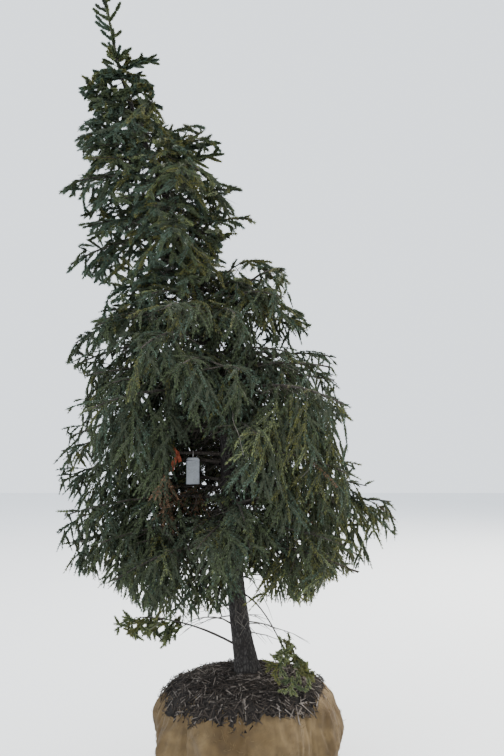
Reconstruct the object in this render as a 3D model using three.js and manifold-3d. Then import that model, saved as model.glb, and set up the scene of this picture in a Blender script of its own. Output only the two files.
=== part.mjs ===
// A young spruce, dug for planting, on its root ball wrapped in burlap. Millimetres, +Z up.
// The origin is the middle of the ball's flat underside. +X is the tree's right, -Y its front.
// Azimuths are degrees round the trunk: 0 is right, 90 back, 180 left and 270 front.
import * as THREE from "three";
import { mergeVertices } from "three/addons/utils/BufferGeometryUtils.js";
import Module from "manifold-3d";

const wasm = await Module();
wasm.setup();

// The gap that two neighbouring solids keep, with a little spare for 32-bit rounding.
const GAP = 0.4;
// How much a frond is swollen for the test that it keeps clear of everything else.
const MARGIN = 1;

// The root ball: a sack of soil, widest above its middle, with a level top for the trunk.
// Each ring of the profile is a share of the radius and of the height.
const BALL = {
  height: 640,
  radius: 570,
  footRadius: 400,
  seatRadius: 130,
  rings: [
    [0.88, 0.14],
    [0.98, 0.36],
    [1, 0.58],
    [0.93, 0.78],
    [0.78, 0.92],
    [0.5, 0.985],
  ],
  facets: 36,
  pleats: 9,
  pleatDepth: 26,
  unevenness: 0.6,
};

// The trunk: heights are above the ball, lean is how far its middle has gone to the right.
const TRUNK = {
  knots: [0, 310, 850, 1620, 1990, 2420, 2910, 3670, 4320],
  lean: [0, -50, -108, -146, -245, -358, -522, -800, -935],
  sway: 22,
  swayLength: 1500,
  cut: 3620,
  tip: 4320,
  radius: 59,
  pointedAt: 4450,
  flare: 24,
  flareHeight: 75,
  flareLobes: 5,
  lobeDepth: 0.3,
  sides: 10,
  rings: 18,
  ringCrowding: 1.25,
};

// The whorls, from the lowest up. left and right are how far the tips reach from the trunk,
// front the share of that reach left at the very front, rise the slope at the trunk, lift what
// a limb to the right rises more, sag the loss of height over the whole reach, hang the pitch
// of the fronds, bare the limb's leafless share (0 where the foliage starts at the trunk).
const WHORLS = [
  {
    name: "skirt", height: 760, limbs: 4, turn: 48, left: 960, right: 990, front: 1,
    rise: 0.12, lift: 0, sag: 0.24, hang: -42, bare: 0.34, fronds: 8,
  },
  {
    name: "low", height: 1000, limbs: 4, turn: 8, left: 930, right: 1010, front: 0.65,
    rise: 0.16, lift: 0.06, sag: 0.26, hang: -46, bare: 0.38, fronds: 7,
  },
  {
    name: "tagged", height: 1290, limbs: 3, turn: 67, left: 970, right: 900, front: 1,
    rise: 0.1, lift: 0.1, sag: 0.24, hang: -46, bare: 0.42, fronds: 7,
  },
  {
    name: "waist", height: 1640, limbs: 4, turn: 45, left: 990, right: 1100, front: 1,
    rise: 0.16, lift: 0.1, sag: 0.28, hang: -48, bare: 0.36, fronds: 7,
  },
  {
    name: "shoulder", height: 1960, limbs: 4, turn: 342, left: 1000, right: 760, front: 1,
    rise: 0.2, lift: 1.9, sag: 0.36, hang: -48, bare: 0.24, fronds: 7,
  },
  {
    name: "neck", height: 2290, limbs: 3, turn: 205, left: 600, right: 330, front: 1,
    rise: 0.2, lift: 0.1, sag: 0.32, hang: -46, bare: 0, fronds: 6,
  },
  {
    name: "middle", height: 2620, limbs: 4, turn: 176, left: 800, right: 440, front: 1,
    rise: 0.14, lift: 0.2, sag: 0.36, hang: -42, bare: 0, fronds: 7,
  },
  {
    name: "upper", height: 2960, limbs: 4, turn: 200, left: 690, right: 570, front: 1,
    rise: 0.24, lift: 0.1, sag: 0.42, hang: -34, bare: 0, fronds: 7,
  },
  {
    name: "high", height: 3290, limbs: 3, turn: 168, left: 500, right: 540, front: 1,
    rise: 0.22, lift: 0.3, sag: 0.26, hang: -26, bare: 0, fronds: 7,
  },
  {
    name: "crest", height: 3510, limbs: 3, turn: 205, left: 300, right: 280, front: 1,
    rise: 0.3, lift: 0.3, sag: 0.2, hang: -8, bare: 0, fronds: 6,
  },
];

// Limbs: the bare boughs, and the stems that carry on their lines through the foliage.
// Distances along a limb are shares of its reach.
const LIMB = {
  azimuthJitter: 8,
  sweep: 0.12,
  liftSag: 0.78,
  seedStep: 100,
  sides: 5,
  rings: 4,
  rootPerReach: 0.0135,
  tipShare: 0.6,
  taperEnd: 0.4,
};
const STEM = { sides: 4, rings: 3, tipRadius: 5, end: 0.8, innerEnd: 0.72 };

// Where the fronds stand on a stem, and their size and shape as shares of their length.
const FROND = {
  outerStart: 0.04,
  innerStart: 0.24,
  endSpace: 0.05,
  fork: 50,
  forkSpread: [0.85, 1.15],
  pitchSpread: [0.6, 1.15],
  lengthSpread: [0.88, 1.12],
  reachShare: 0.58,
  shortening: 0.45,
  shorter: 0.72,
  threeTeethFrom: 260,
  roll: 34,
  halfWidth: 0.4,
  stalk: 0.16,
  lastTooth: 0.86,
  swept: 0.13,
  droop: 0.3,
  toothDroop: 0.16,
  stalkHalfWidth: 4.5,
  rootHalfWidth: 2,
  thickness: 6,
};

// One more frond hangs straight down from the underside of each stem.
const HANGER = { place: 0.55, spread: 30, pitchShare: 1.2, steeper: -22, length: 110, reachShare: 0.16 };

// The leader's shoots: a ring of forked ones at its foot, and short single ones above.
const LEADER = {
  seed: 7,
  sides: 4,
  rings: 7,
  goldenTurn: 137.5,
  forks: 5,
  forkTurn: 20,
  forkStart: 35,
  forkStep: 16,
  forkPitch: [8, 32],
  forkLength: [190, 235],
  shootStart: 170,
  shootStep: [37, 62],
  shootLength: [98, 134],
  shootPitch: [19, 43],
  shootHalfWidth: 0.15,
  topShoot: 98,
};

// The grower's tag of blank card and the marking ribbon, both on the left limb of one whorl.
const TAG = {
  whorl: "tagged", limb: 1, along: 0.215, width: 79, height: 159, thickness: 1.4,
  corner: 10, drop: 20, wire: 1.2, wireSides: 5, ringSides: 4, turn: 8,
};
const RIBBON = {
  along: 0.31, width: 30, thickness: 1.4, knot: 4, tails: [165, 95], slant: 0.28,
};
const BAND_SIDES = 10;

const FINISHES = {
  bark: { color: "#6b5a4a", roughness: 0.9 },
  limb: { color: "#5d4d3e", roughness: 0.88 },
  needles: { color: "#2f4a34", roughness: 0.62 },
  topNeedles: { color: "#3a5740", roughness: 0.6 },
  burlap: { color: "#94713c", roughness: 0.95 },
  card: { color: "#e6e8ea", roughness: 0.55 },
  ribbon: { color: "#dd5a2f", roughness: 0.5 },
};

const UP = new THREE.Vector3(0, 0, 1);
const RIGHT = new THREE.Vector3(1, 0, 0);
const radians = THREE.MathUtils.degToRad;

// A seeded source of even numbers from 0 to 1, so that each build grows the same tree.
function seeded(seed) {
  let state = seed >>> 0;
  return () => {
    state = (state + 0x6d2b79f5) >>> 0;
    let t = state;
    t = Math.imul(t ^ (t >>> 15), t | 1);
    t ^= t + Math.imul(t ^ (t >>> 7), t | 61);
    return ((t ^ (t >>> 14)) >>> 0) / 4294967296;
  };
}

function between(random, [low, high]) {
  return low + (high - low) * random();
}

function eitherWay(random, size) {
  return between(random, [-size, size]);
}

// A smooth curve through named heights: cubic steps whose slopes come from the neighbours.
function smooth(knots, values, at) {
  const last = knots.length - 1;
  const clamped = Math.min(Math.max(at, knots[0]), knots[last]);
  let i = 0;
  while (i < last - 1 && clamped > knots[i + 1]) i += 1;
  const slope = (k) => {
    const a = Math.max(k - 1, 0);
    const b = Math.min(k + 1, last);
    return (values[b] - values[a]) / (knots[b] - knots[a]);
  };
  const step = knots[i + 1] - knots[i];
  const t = (clamped - knots[i]) / step;
  const t2 = t * t;
  const t3 = t2 * t;
  return (
    (2 * t3 - 3 * t2 + 1) * values[i] +
    (t3 - 2 * t2 + t) * step * slope(i) +
    (3 * t2 - 2 * t3) * values[i + 1] +
    (t3 - t2) * step * slope(i + 1)
  );
}

function geometryOf(positions, faces) {
  const geometry = new THREE.BufferGeometry();
  geometry.setAttribute("position", new THREE.Float32BufferAttribute(positions, 3));
  geometry.setIndex(faces);
  return geometry;
}

// The closed surface over a stack of rings with the same number of points, with flat ends.
function skinned(rings) {
  const sides = rings[0].length;
  const faces = [];
  for (let k = 0; k < rings.length - 1; k += 1) {
    for (let j = 0; j < sides; j += 1) {
      const a = k * sides + j;
      const b = k * sides + ((j + 1) % sides);
      faces.push(a, b, b + sides, a, b + sides, a + sides);
    }
  }
  const top = (rings.length - 1) * sides;
  for (let j = 1; j < sides - 1; j += 1) {
    faces.push(0, j + 1, j, top, top + j, top + j + 1);
  }
  return geometryOf(rings.flat().flatMap((p) => p.toArray()), faces);
}

// A manifold-3d solid from a closed three.js geometry, with shared vertices merged.
function asSolid(geometry) {
  const bare = geometry.clone();
  bare.deleteAttribute("normal");
  bare.deleteAttribute("uv");
  const merged = mergeVertices(bare, 1e-4);
  const index = merged.index.array;
  const kept = [];
  for (let i = 0; i < index.length; i += 3) {
    const [a, b, c] = [index[i], index[i + 1], index[i + 2]];
    if (a !== b && b !== c && c !== a) kept.push(a, b, c);
  }
  return new wasm.Manifold(
    new wasm.Mesh({
      numProp: 3,
      vertProperties: new Float32Array(merged.attributes.position.array),
      triVerts: new Uint32Array(kept),
    }),
  );
}

// The largest body of a solid, as a three.js geometry.
function asGeometry(solid) {
  const whole = solid.decompose().reduce((a, b) => (b.volume() > a.volume() ? b : a));
  const mesh = whole.getMesh();
  return geometryOf(Array.from(mesh.vertProperties), Array.from(mesh.triVerts));
}

// The root ball: a turned profile, drawn in between the pleats where the burlap is gathered.
function ballGeometry() {
  const { height, radius, footRadius, seatRadius, rings, pleatDepth } = BALL;
  const profile = [
    [0, 0],
    [footRadius, 0],
    ...rings.map(([r, z]) => [r * radius, z * height]),
    [seatRadius, height],
    [0, height],
  ].map(([r, z]) => new THREE.Vector2(r, z));
  const geometry = new THREE.LatheGeometry(profile, BALL.facets).rotateX(Math.PI / 2);
  const place = geometry.attributes.position;
  for (let i = 0; i < place.count; i += 1) {
    const [x, y, z] = [place.getX(i), place.getY(i), place.getZ(i)];
    const reach = Math.hypot(x, y);
    if (reach <= seatRadius + 1) continue;
    const angle = Math.atan2(y, x);
    const wave = Math.sin(BALL.pleats * angle + BALL.unevenness * Math.sin(3 * angle));
    const gathered = 0.25 + 0.75 * Math.sin((Math.PI * z) / height);
    const scale = 1 + (pleatDepth * (wave * gathered - 1)) / reach;
    place.setXY(i, x * scale, y * scale);
  }
  return geometry;
}

// The trunk's middle at a height above the ball.
function trunkMiddle(height) {
  const x = smooth(TRUNK.knots, TRUNK.lean, height);
  const y = TRUNK.sway * Math.sin((Math.PI * height) / TRUNK.swayLength);
  return new THREE.Vector3(x, y, BALL.height + height);
}

// The trunk's radius there: an even taper, and a flare in lobes where the roots start.
function trunkRadius(height, angle) {
  const wood = TRUNK.radius * (1 - height / TRUNK.pointedAt);
  const lobes = 1 + TRUNK.lobeDepth * Math.cos(TRUNK.flareLobes * angle);
  return wood + TRUNK.flare * lobes * Math.exp(-height / TRUNK.flareHeight);
}

function trunkRing(height, sides, wider = 0) {
  const middle = trunkMiddle(height);
  return Array.from({ length: sides }, (_, j) => {
    const angle = (2 * Math.PI * j) / sides;
    const radius = trunkRadius(height, angle) + wider;
    return new THREE.Vector3(radius * Math.cos(angle), radius * Math.sin(angle), 0).add(middle);
  });
}

// The trunk from one height to another, its rings closer at the foot. wider swells it.
function trunkGeometry(from, to, wider = 0) {
  const section = Array.from({ length: TRUNK.rings + 1 }, (_, k) => {
    const height = from + (to - from) * (k / TRUNK.rings) ** TRUNK.ringCrowding;
    return trunkRing(height, TRUNK.sides, wider);
  });
  return skinned(section);
}

// One limb of a whorl: its reach, and the line that it follows from the trunk's middle (0)
// to the tip of its foliage (1).
function limbOf(whorl, number, index) {
  const random = seeded(LIMB.seedStep * (index + 1) + number);
  const spaced = whorl.turn + (360 * number) / whorl.limbs;
  const azimuth = radians(spaced + eitherWay(random, LIMB.azimuthJitter));
  const sweep = eitherWay(random, LIMB.sweep);
  const toRight = Math.cos(azimuth);
  const toFront = Math.max(0, -Math.sin(azimuth));
  const even = (whorl.left * (1 - toRight) + whorl.right * (1 + toRight)) / 2;
  const reach = even * (1 - (1 - whorl.front) * toFront);
  const lift = whorl.lift * Math.max(0, toRight);
  const rise = whorl.rise + lift;
  const sag = whorl.sag + LIMB.liftSag * lift;
  const out = new THREE.Vector3(Math.cos(azimuth), Math.sin(azimuth), 0);
  const across = new THREE.Vector3(-out.y, out.x, 0);
  const start = trunkMiddle(whorl.height);
  const at = (s) =>
    start
      .clone()
      .addScaledVector(out, reach * s)
      .addScaledVector(across, reach * sweep * s * s)
      .addScaledVector(UP, reach * (rise * s - sag * s * s));
  const along = (s) => at(s + 0.01).sub(at(s - 0.01)).normalize();
  const taper = (s) => 1 - (1 - LIMB.tipShare) * Math.min(1, s / LIMB.taperEnd);
  const radius = (s) => LIMB.rootPerReach * reach * taper(s);
  return { whorl, number, random, reach, at, along, radius };
}

// A stretch of a limb, with its rings square to its line.
function limbGeometry(limb, from, to, rings, sides, radiusAt) {
  const section = Array.from({ length: rings + 1 }, (_, k) => {
    const s = from + ((to - from) * k) / rings;
    const [middle, along, radius] = [limb.at(s), limb.along(s), radiusAt(s)];
    const across = UP.clone().cross(along).normalize();
    const upright = along.clone().cross(across);
    return Array.from({ length: sides }, (__, j) => {
      const angle = (2 * Math.PI * (j + 0.5)) / sides;
      const around = across.clone().multiplyScalar(radius * Math.cos(angle));
      return around.addScaledVector(upright, radius * Math.sin(angle)).add(middle);
    });
  });
  return skinned(section);
}

// A side twig with its sprays of needles as one blade: a bare stalk, pairs of swept teeth and
// a tip. Its underside is flat, its top has a ridge, and it bends down towards its tip.
function frondGeometry(length, halfWidth, teeth, swell) {
  const stalkEnd = FROND.stalk * length;
  const step = (length * (FROND.lastTooth - FROND.stalk)) / teeth;
  const stations = [0, ...Array.from({ length: teeth + 1 }, (_, i) => stalkEnd + i * step)];
  const positions = [];
  const place = (u, w, n) => {
    const bend = (FROND.droop * u * u) / length + FROND.toothDroop * Math.abs(w);
    positions.push(u, w, n - bend);
  };
  stations.forEach((u) => {
    const half = (u ? FROND.stalkHalfWidth : FROND.rootHalfWidth) + swell;
    place(u, half, -swell);
    place(u, -half, -swell);
    place(u, 0, u ? FROND.thickness + swell : half);
  });
  for (let i = 0; i < teeth; i += 1) {
    const u = stalkEnd + (i + 0.5) * step + FROND.swept * length;
    const wide = (halfWidth + swell) * Math.sin((Math.PI * (i + 1.25)) / (teeth + 1.5));
    place(u, wide, 0);
    place(u, -wide, 0);
  }
  place(length + swell, 0, 0);
  return geometryOf(positions, frondFaces(teeth));
}

// Each station of a frond has a left, a right and a ridge point. The teeth's tips follow, and
// then the frond's own.
function frondFaces(teeth) {
  const faces = [0, 1, 2, 0, 3, 4, 0, 4, 1, 0, 2, 5, 0, 5, 3, 1, 4, 5, 1, 5, 2];
  const firstTooth = 3 * (teeth + 2);
  for (let i = 0; i < teeth; i += 1) {
    const [left, right, ridge] = [3 * i + 3, 3 * i + 4, 3 * i + 5];
    const [nextLeft, nextRight, nextRidge] = [left + 3, right + 3, ridge + 3];
    const [toothLeft, toothRight] = [firstTooth + 2 * i, firstTooth + 2 * i + 1];
    faces.push(left, nextLeft, nextRight, left, nextRight, right);
    faces.push(left, toothLeft, nextLeft, left, ridge, toothLeft);
    faces.push(ridge, nextLeft, toothLeft, ridge, nextRidge, nextLeft);
    faces.push(right, nextRight, toothRight, right, toothRight, ridge);
    faces.push(ridge, toothRight, nextRight, ridge, nextRight, nextRidge);
  }
  const [left, right, ridge] = [firstTooth - 3, firstTooth - 2, firstTooth - 1];
  const tip = firstTooth + 2 * teeth;
  faces.push(left, tip, right, left, ridge, tip, right, tip, ridge);
  return faces;
}

// Sets a frond on its root: along its direction, level across, then rolled about itself.
function placedFrond(root, direction, roll, length, halfWidth, teeth, swell = 0) {
  const level = Math.abs(direction.z) > 0.95 ? RIGHT : UP;
  const across = level.clone().cross(direction).normalize().applyAxisAngle(direction, roll);
  const normal = direction.clone().cross(across);
  const frame = new THREE.Matrix4().makeBasis(direction, across, normal).setPosition(root);
  return asSolid(frondGeometry(length, halfWidth, teeth, swell).applyMatrix4(frame));
}

// A level heading turned sideways by fork degrees, then pitched up or down.
function turned(along, fork, pitch) {
  const heading = new THREE.Vector3(along.x, along.y, 0).normalize();
  heading.applyAxisAngle(UP, radians(fork)).multiplyScalar(Math.cos(radians(pitch)));
  return heading.setZ(Math.sin(radians(pitch)));
}

// What is already grown, with its box, so that a new frond can be kept clear of it.
const grown = [];

function remember(solid) {
  grown.push({ solid, box: solid.boundingBox() });
}

// A frond may only cross the stem that it grows on.
function isClear(solid, stem) {
  const box = solid.boundingBox();
  const meets = (other) =>
    [0, 1, 2].every((k) => box.min[k] <= other.max[k] && other.min[k] <= box.max[k]);
  return grown
    .filter((other) => other.solid !== stem && meets(other.box))
    .every((other) => solid.intersect(other.solid).isEmpty());
}

// Grows one frond if it keeps clear, or else a shorter one, or else none.
function growFrond(mass, root, direction, length, teeth, widthShare = FROND.halfWidth) {
  const roll = radians(eitherWay(mass.random, FROND.roll));
  for (const long of [length, length * FROND.shorter]) {
    const sizes = [root, direction, roll, long, long * widthShare, teeth];
    if (!isClear(placedFrond(...sizes, MARGIN), mass.stem)) continue;
    const frond = placedFrond(...sizes);
    mass.solids.push(frond);
    remember(frond);
    return;
  }
}

function newMass(random, stem) {
  remember(stem);
  return { random, stem, solids: [stem] };
}

// A mass of foliage: the stem that carries on a limb's line, with fronds to its left and right
// in turn, one hanging under it and one on its end.
function growMass(limb) {
  const { whorl, random, reach } = limb;
  const start = whorl.bare ? whorl.bare + GAP / reach : 0;
  const end = whorl.bare ? STEM.end : STEM.innerEnd;
  const thick = limb.radius(start);
  const radiusAt = (s) => thick + ((STEM.tipRadius - thick) * (s - start)) / (end - start);
  const stem = asSolid(limbGeometry(limb, start, end, STEM.rings, STEM.sides, radiusAt));
  const mass = newMass(random, stem);
  const first = whorl.bare ? start + FROND.outerStart : FROND.innerStart;
  for (let i = 0; i < whorl.fronds; i += 1) {
    const share = i / (whorl.fronds - 1);
    const s = first + (end - FROND.endSpace - first) * share;
    const side = (i + limb.number) % 2 ? 1 : -1;
    const fork = side * FROND.fork * between(random, FROND.forkSpread);
    const pitch = whorl.hang * between(random, FROND.pitchSpread);
    const full = reach * FROND.reachShare * (1 - FROND.shortening * share);
    const length = full * between(random, FROND.lengthSpread);
    const teeth = length > FROND.threeTeethFrom ? 3 : 2;
    growFrond(mass, limb.at(s), turned(limb.along(s), fork, pitch), length, teeth);
  }
  const tip = limb.at(end);
  const onward = limb.at(1).sub(tip);
  tip.addScaledVector(limb.along(end), -STEM.tipRadius);
  growFrond(mass, tip, onward.clone().normalize(), onward.length(), 3);
  const under = first + (end - first) * HANGER.place;
  const pitch = whorl.hang * HANGER.pitchShare + HANGER.steeper;
  const down = turned(limb.along(under), eitherWay(random, HANGER.spread), pitch);
  growFrond(mass, limb.at(under), down, HANGER.length + HANGER.reachShare * reach, 2);
  return mass;
}

// The leader: the trunk's last years of growth above its cut, with side shoots to the top.
function growLeader() {
  const random = seeded(LEADER.seed);
  const from = TRUNK.cut + GAP;
  const to = TRUNK.tip - LEADER.topShoot;
  const section = Array.from({ length: LEADER.rings + 1 }, (_, k) =>
    trunkRing(from + ((to - from) * k) / LEADER.rings, LEADER.sides),
  );
  const mass = newMass(random, asSolid(skinned(section)));
  for (let i = 0; i < LEADER.forks; i += 1) {
    const root = trunkMiddle(from + LEADER.forkStart + i * LEADER.forkStep);
    const turn = LEADER.forkTurn + i * LEADER.goldenTurn;
    const way = turned(RIGHT, turn, between(random, LEADER.forkPitch));
    growFrond(mass, root, way, between(random, LEADER.forkLength), 2);
  }
  let height = from + LEADER.shootStart;
  for (let i = 0; height < to; i += 1) {
    const way = turned(RIGHT, i * LEADER.goldenTurn, between(random, LEADER.shootPitch));
    const length = between(random, LEADER.shootLength);
    growFrond(mass, trunkMiddle(height), way, length, 1, LEADER.shootHalfWidth);
    height += between(random, LEADER.shootStep);
  }
  const crown = trunkMiddle(to);
  const upward = trunkMiddle(TRUNK.tip).sub(crown);
  growFrond(mass, crown, upward.clone().normalize(), upward.length(), 1, LEADER.shootHalfWidth);
  return mass;
}

// The inner radius of a many-sided band that keeps clear of a limb's corners.
function bandRadius(limb, s) {
  return (limb.radius(s) + GAP) / Math.cos(Math.PI / BAND_SIDES);
}

// Turns a piece that lies along Z so that it lies along a limb at s, with its middle there.
function aboutLimb(geometry, limb, s) {
  const turn = new THREE.Quaternion().setFromUnitVectors(UP, limb.along(s));
  return asSolid(geometry.applyQuaternion(turn).translate(...limb.at(s).toArray()));
}

// A flat outline in the X-Z plane, given its thickness along Y and hung from a point.
function hungSheet(outline, thickness, hook) {
  const shape = new THREE.Shape(outline.map(([x, z]) => new THREE.Vector2(x, z)));
  const sheet = new THREE.ExtrudeGeometry(shape, { depth: thickness, bevelEnabled: false });
  return sheet.translate(0, 0, -thickness / 2).rotateX(Math.PI / 2).translate(...hook);
}

// The card tag with two cut corners, on a loop of wire round the limb.
function tagSolid(limb) {
  const { width, height, thickness, corner, drop, wire } = TAG;
  const ringRadius = bandRadius(limb, TAG.along) + wire;
  const torus = new THREE.TorusGeometry(ringRadius, wire, TAG.ringSides, BAND_SIDES);
  const ring = aboutLimb(torus, limb, TAG.along);
  const tail = new THREE.CylinderGeometry(wire, wire, drop, TAG.wireSides).rotateX(Math.PI / 2);
  const outline = [
    [-width / 2, -height],
    [width / 2, -height],
    [width / 2, -corner],
    [width / 2 - corner, 0],
    [corner - width / 2, 0],
    [-width / 2, -corner],
  ];
  const card = hungSheet(outline, thickness, [0, 0, 0]).rotateZ(radians(TAG.turn));
  const hook = limb.at(TAG.along);
  hook.z -= ringRadius - wire / 2;
  tail.translate(hook.x, hook.y, hook.z - drop / 2);
  card.translate(hook.x, hook.y, hook.z - drop + 2 * wire);
  return ring.add(asSolid(tail)).add(asSolid(card));
}

// The ribbon: a band knotted round the limb, and two tails that hang apart.
function ribbonSolid(limb) {
  const inner = bandRadius(limb, RIBBON.along);
  const outer = inner + RIBBON.knot;
  const edge = RIBBON.width / 4;
  const profile = [
    [inner, -edge],
    [outer, -edge],
    [outer, edge],
    [inner, edge],
    [inner, -edge],
  ].map(([r, z]) => new THREE.Vector2(r, z));
  const lathe = new THREE.LatheGeometry(profile, BAND_SIDES).rotateX(Math.PI / 2);
  const half = RIBBON.width / 2;
  return RIBBON.tails.reduce((band, length, i) => {
    const lean = (i ? -1 : 1) * RIBBON.slant * length;
    const outline = [
      [-0.4 * half, 0],
      [-half + 0.35 * lean, -0.3 * length],
      [-half + lean, -0.93 * length],
      [half + lean, -length],
      [half + 0.35 * lean, -0.35 * length],
      [0.4 * half, 0],
    ];
    const hook = limb.at(RIBBON.along).add(new THREE.Vector3(0, -2 * i, -inner - RIBBON.knot / 2));
    return band.add(asSolid(hungSheet(outline, RIBBON.thickness, hook.toArray())));
  }, aboutLimb(lathe, limb, RIBBON.along));
}

const tree = new THREE.Group();
tree.name = "spruce_tree";

function addPiece(name, geometry, finish) {
  const material = new THREE.MeshStandardMaterial({ ...FINISHES[finish], metalness: 0 });
  const mesh = new THREE.Mesh(geometry, material);
  mesh.name = name;
  tree.add(mesh);
}

addPiece("root_ball", asGeometry(asSolid(ballGeometry())), "burlap");
addPiece("trunk", trunkGeometry(GAP, TRUNK.cut), "bark");
const trunkSpace = asSolid(trunkGeometry(-GAP, TRUNK.cut + GAP / 2, GAP));
remember(trunkSpace);

const limbs = WHORLS.flatMap((whorl, index) =>
  Array.from({ length: whorl.limbs }, (_, number) => limbOf(whorl, number, index)),
);

for (const limb of limbs.filter(({ whorl }) => whorl.bare)) {
  const { whorl, number } = limb;
  const whole = limbGeometry(limb, 0, whorl.bare, LIMB.rings, LIMB.sides, limb.radius);
  const bough = asSolid(whole).subtract(trunkSpace);
  remember(bough);
  addPiece(`bough_${whorl.name}_${number + 1}`, asGeometry(bough), "limb");
}

const tagLimb = limbs.find(({ whorl, number }) => whorl.name === TAG.whorl && number === TAG.limb);
const tag = tagSolid(tagLimb);
remember(tag);
addPiece("grower_tag", asGeometry(tag), "card");
const ribbon = ribbonSolid(tagLimb);
remember(ribbon);
addPiece("marking_ribbon", asGeometry(ribbon), "ribbon");

for (const limb of limbs) {
  const { whorl, number } = limb;
  const joined = wasm.Manifold.union(growMass(limb).solids).subtract(trunkSpace);
  const finish = whorl.bare ? "needles" : "topNeedles";
  addPiece(`foliage_${whorl.name}_${number + 1}`, asGeometry(joined), finish);
}
addPiece("leader", asGeometry(wasm.Manifold.union(growLeader().solids)), "topNeedles");

export default tree;
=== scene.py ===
"""A young spruce on its burlap root ball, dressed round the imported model.

The tree grows by the same seeded rule as the solids and in the same millimetres: the origin is
the middle of the ball's flat underside, +Z is up, +X is the tree's right and -Y its front. Each
frond of the solids becomes a side twig that carries finer twigs, shoots and needles. The meshes
themselves are made in metres.
"""

import logging
import math
from collections.abc import Iterator
from dataclasses import dataclass, field, replace
from enum import Enum, IntEnum
from functools import cache

import bpy
import numpy as np
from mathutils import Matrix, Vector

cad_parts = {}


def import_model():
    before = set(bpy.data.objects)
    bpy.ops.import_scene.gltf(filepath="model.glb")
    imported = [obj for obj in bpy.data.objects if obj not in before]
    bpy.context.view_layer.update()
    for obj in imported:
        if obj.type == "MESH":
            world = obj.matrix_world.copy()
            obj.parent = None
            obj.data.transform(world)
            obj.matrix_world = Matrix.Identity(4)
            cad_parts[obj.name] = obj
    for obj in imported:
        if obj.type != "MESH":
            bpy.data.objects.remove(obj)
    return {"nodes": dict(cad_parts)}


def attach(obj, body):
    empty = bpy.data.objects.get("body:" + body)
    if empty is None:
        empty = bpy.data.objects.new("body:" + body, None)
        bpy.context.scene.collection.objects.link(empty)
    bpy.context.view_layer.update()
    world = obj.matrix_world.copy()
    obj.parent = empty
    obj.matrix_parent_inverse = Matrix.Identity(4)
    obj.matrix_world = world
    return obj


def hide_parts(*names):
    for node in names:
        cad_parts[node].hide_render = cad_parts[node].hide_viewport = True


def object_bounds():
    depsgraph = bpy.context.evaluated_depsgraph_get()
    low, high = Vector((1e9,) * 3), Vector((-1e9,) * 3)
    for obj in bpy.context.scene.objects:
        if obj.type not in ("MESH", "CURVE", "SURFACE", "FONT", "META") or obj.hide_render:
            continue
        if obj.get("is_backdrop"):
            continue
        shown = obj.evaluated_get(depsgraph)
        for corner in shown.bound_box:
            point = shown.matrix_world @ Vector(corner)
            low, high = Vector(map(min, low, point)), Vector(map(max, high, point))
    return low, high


LOG = logging.getLogger("spruce")

Array = np.ndarray
Color = tuple[float, float, float]
Place = tuple[float, float, float]
Table = tuple[tuple[float, ...], ...]
Material = bpy.types.Material
Node = bpy.types.Node
Socket = bpy.types.NodeSocket

MILLIMETRE = 0.001
REACH_MARGIN = 8.0
MASK = 0xFFFFFFFF
UP = np.array([0.0, 0.0, 1.0])
RIGHT = np.array([1.0, 0.0, 0.0])
TURN = 2 * math.pi
GOLDEN_DEGREES = 137.5
GOLDEN_TURN = math.radians(GOLDEN_DEGREES)
# Half a frond's width, as a share of its length.
FROND_WIDTH = 0.4
# How far past the crown's outline wood may stand.
WOOD_SLACK = 20
# The most pairs of needles in one piece: a triangle a needle, kept under 200,000 triangles.
PAIRS_IN_PIECE = 99000


def unit(vectors: Array) -> Array:
    """One vector, or each row of several, at length one."""
    length = np.linalg.norm(vectors, axis=-1, keepdims=True)
    return vectors / np.maximum(length, 1e-9)


def turned_about(vector: Array, axis: Array, angle: float) -> Array:
    """A vector turned about a unit axis by an angle in radians, by the right-hand rule."""
    along = axis * float(vector @ axis)
    return along + (vector - along) * math.cos(angle) + np.cross(axis, vector) * math.sin(angle)


def heading(along: Array, fork: float, pitch: float) -> Array:
    """Turns a level heading sideways and pitches it up or down.

    Args:
        along: The direction that is levelled first.
        fork: The turn sideways in degrees.
        pitch: The rise above level in degrees.

    Returns:
        The new unit direction.
    """
    level = unit(np.array([along[0], along[1], 0.0]))
    level = turned_about(level, UP, math.radians(fork)) * math.cos(math.radians(pitch))
    level[2] = math.sin(math.radians(pitch))
    return level


def polar(radius: Array | float, angle: Array, height: Array | float = 0.0) -> Array:
    """Points round the upright axis, by their radius, angle and height."""
    parts = np.broadcast_arrays(radius * np.cos(angle), radius * np.sin(angle), height)
    return np.stack(parts, axis=-1)


def round_angles(count: int) -> Array:
    """Angles evenly round a circle, in radians."""
    return TURN * np.arange(count) / count


def sides_of(along: Array, steep: float) -> tuple[Array, Array]:
    """Two directions square to each unit row, the first level. Rows past steep lean on +X."""
    across = unit(np.cross(np.where(np.abs(along[:, 2:]) > steep, RIGHT, UP), along))
    return across, np.cross(along, across)


def value_noise(points: Array, seed: int) -> Array:
    """Smooth random values on a lattice of cells of size one.

    Args:
        points: Coordinates along the last axis, already scaled to cells.
        seed: Picks one of many patterns.

    Returns:
        One value from 0 to 1 for each point.
    """
    cell = np.floor(points).astype(np.int64)
    part = points - cell
    ease = part * part * (3 - 2 * part)
    primes = np.array([73856093, 19349663, 83492791], dtype=np.int64)
    total = np.zeros(points.shape[:-1])
    for corner in range(8):
        step = np.array([corner & 1, (corner >> 1) & 1, (corner >> 2) & 1])
        mixed = (cell + step) @ primes + seed * 1013904223
        mixed = ((mixed ^ (mixed >> 13)) * 1274126177) & MASK
        value = ((mixed ^ (mixed >> 16)) & 0xFFFF) / 65535.0
        total += value * np.prod(np.where(step, ease, 1 - ease), axis=-1)
    return total


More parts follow.
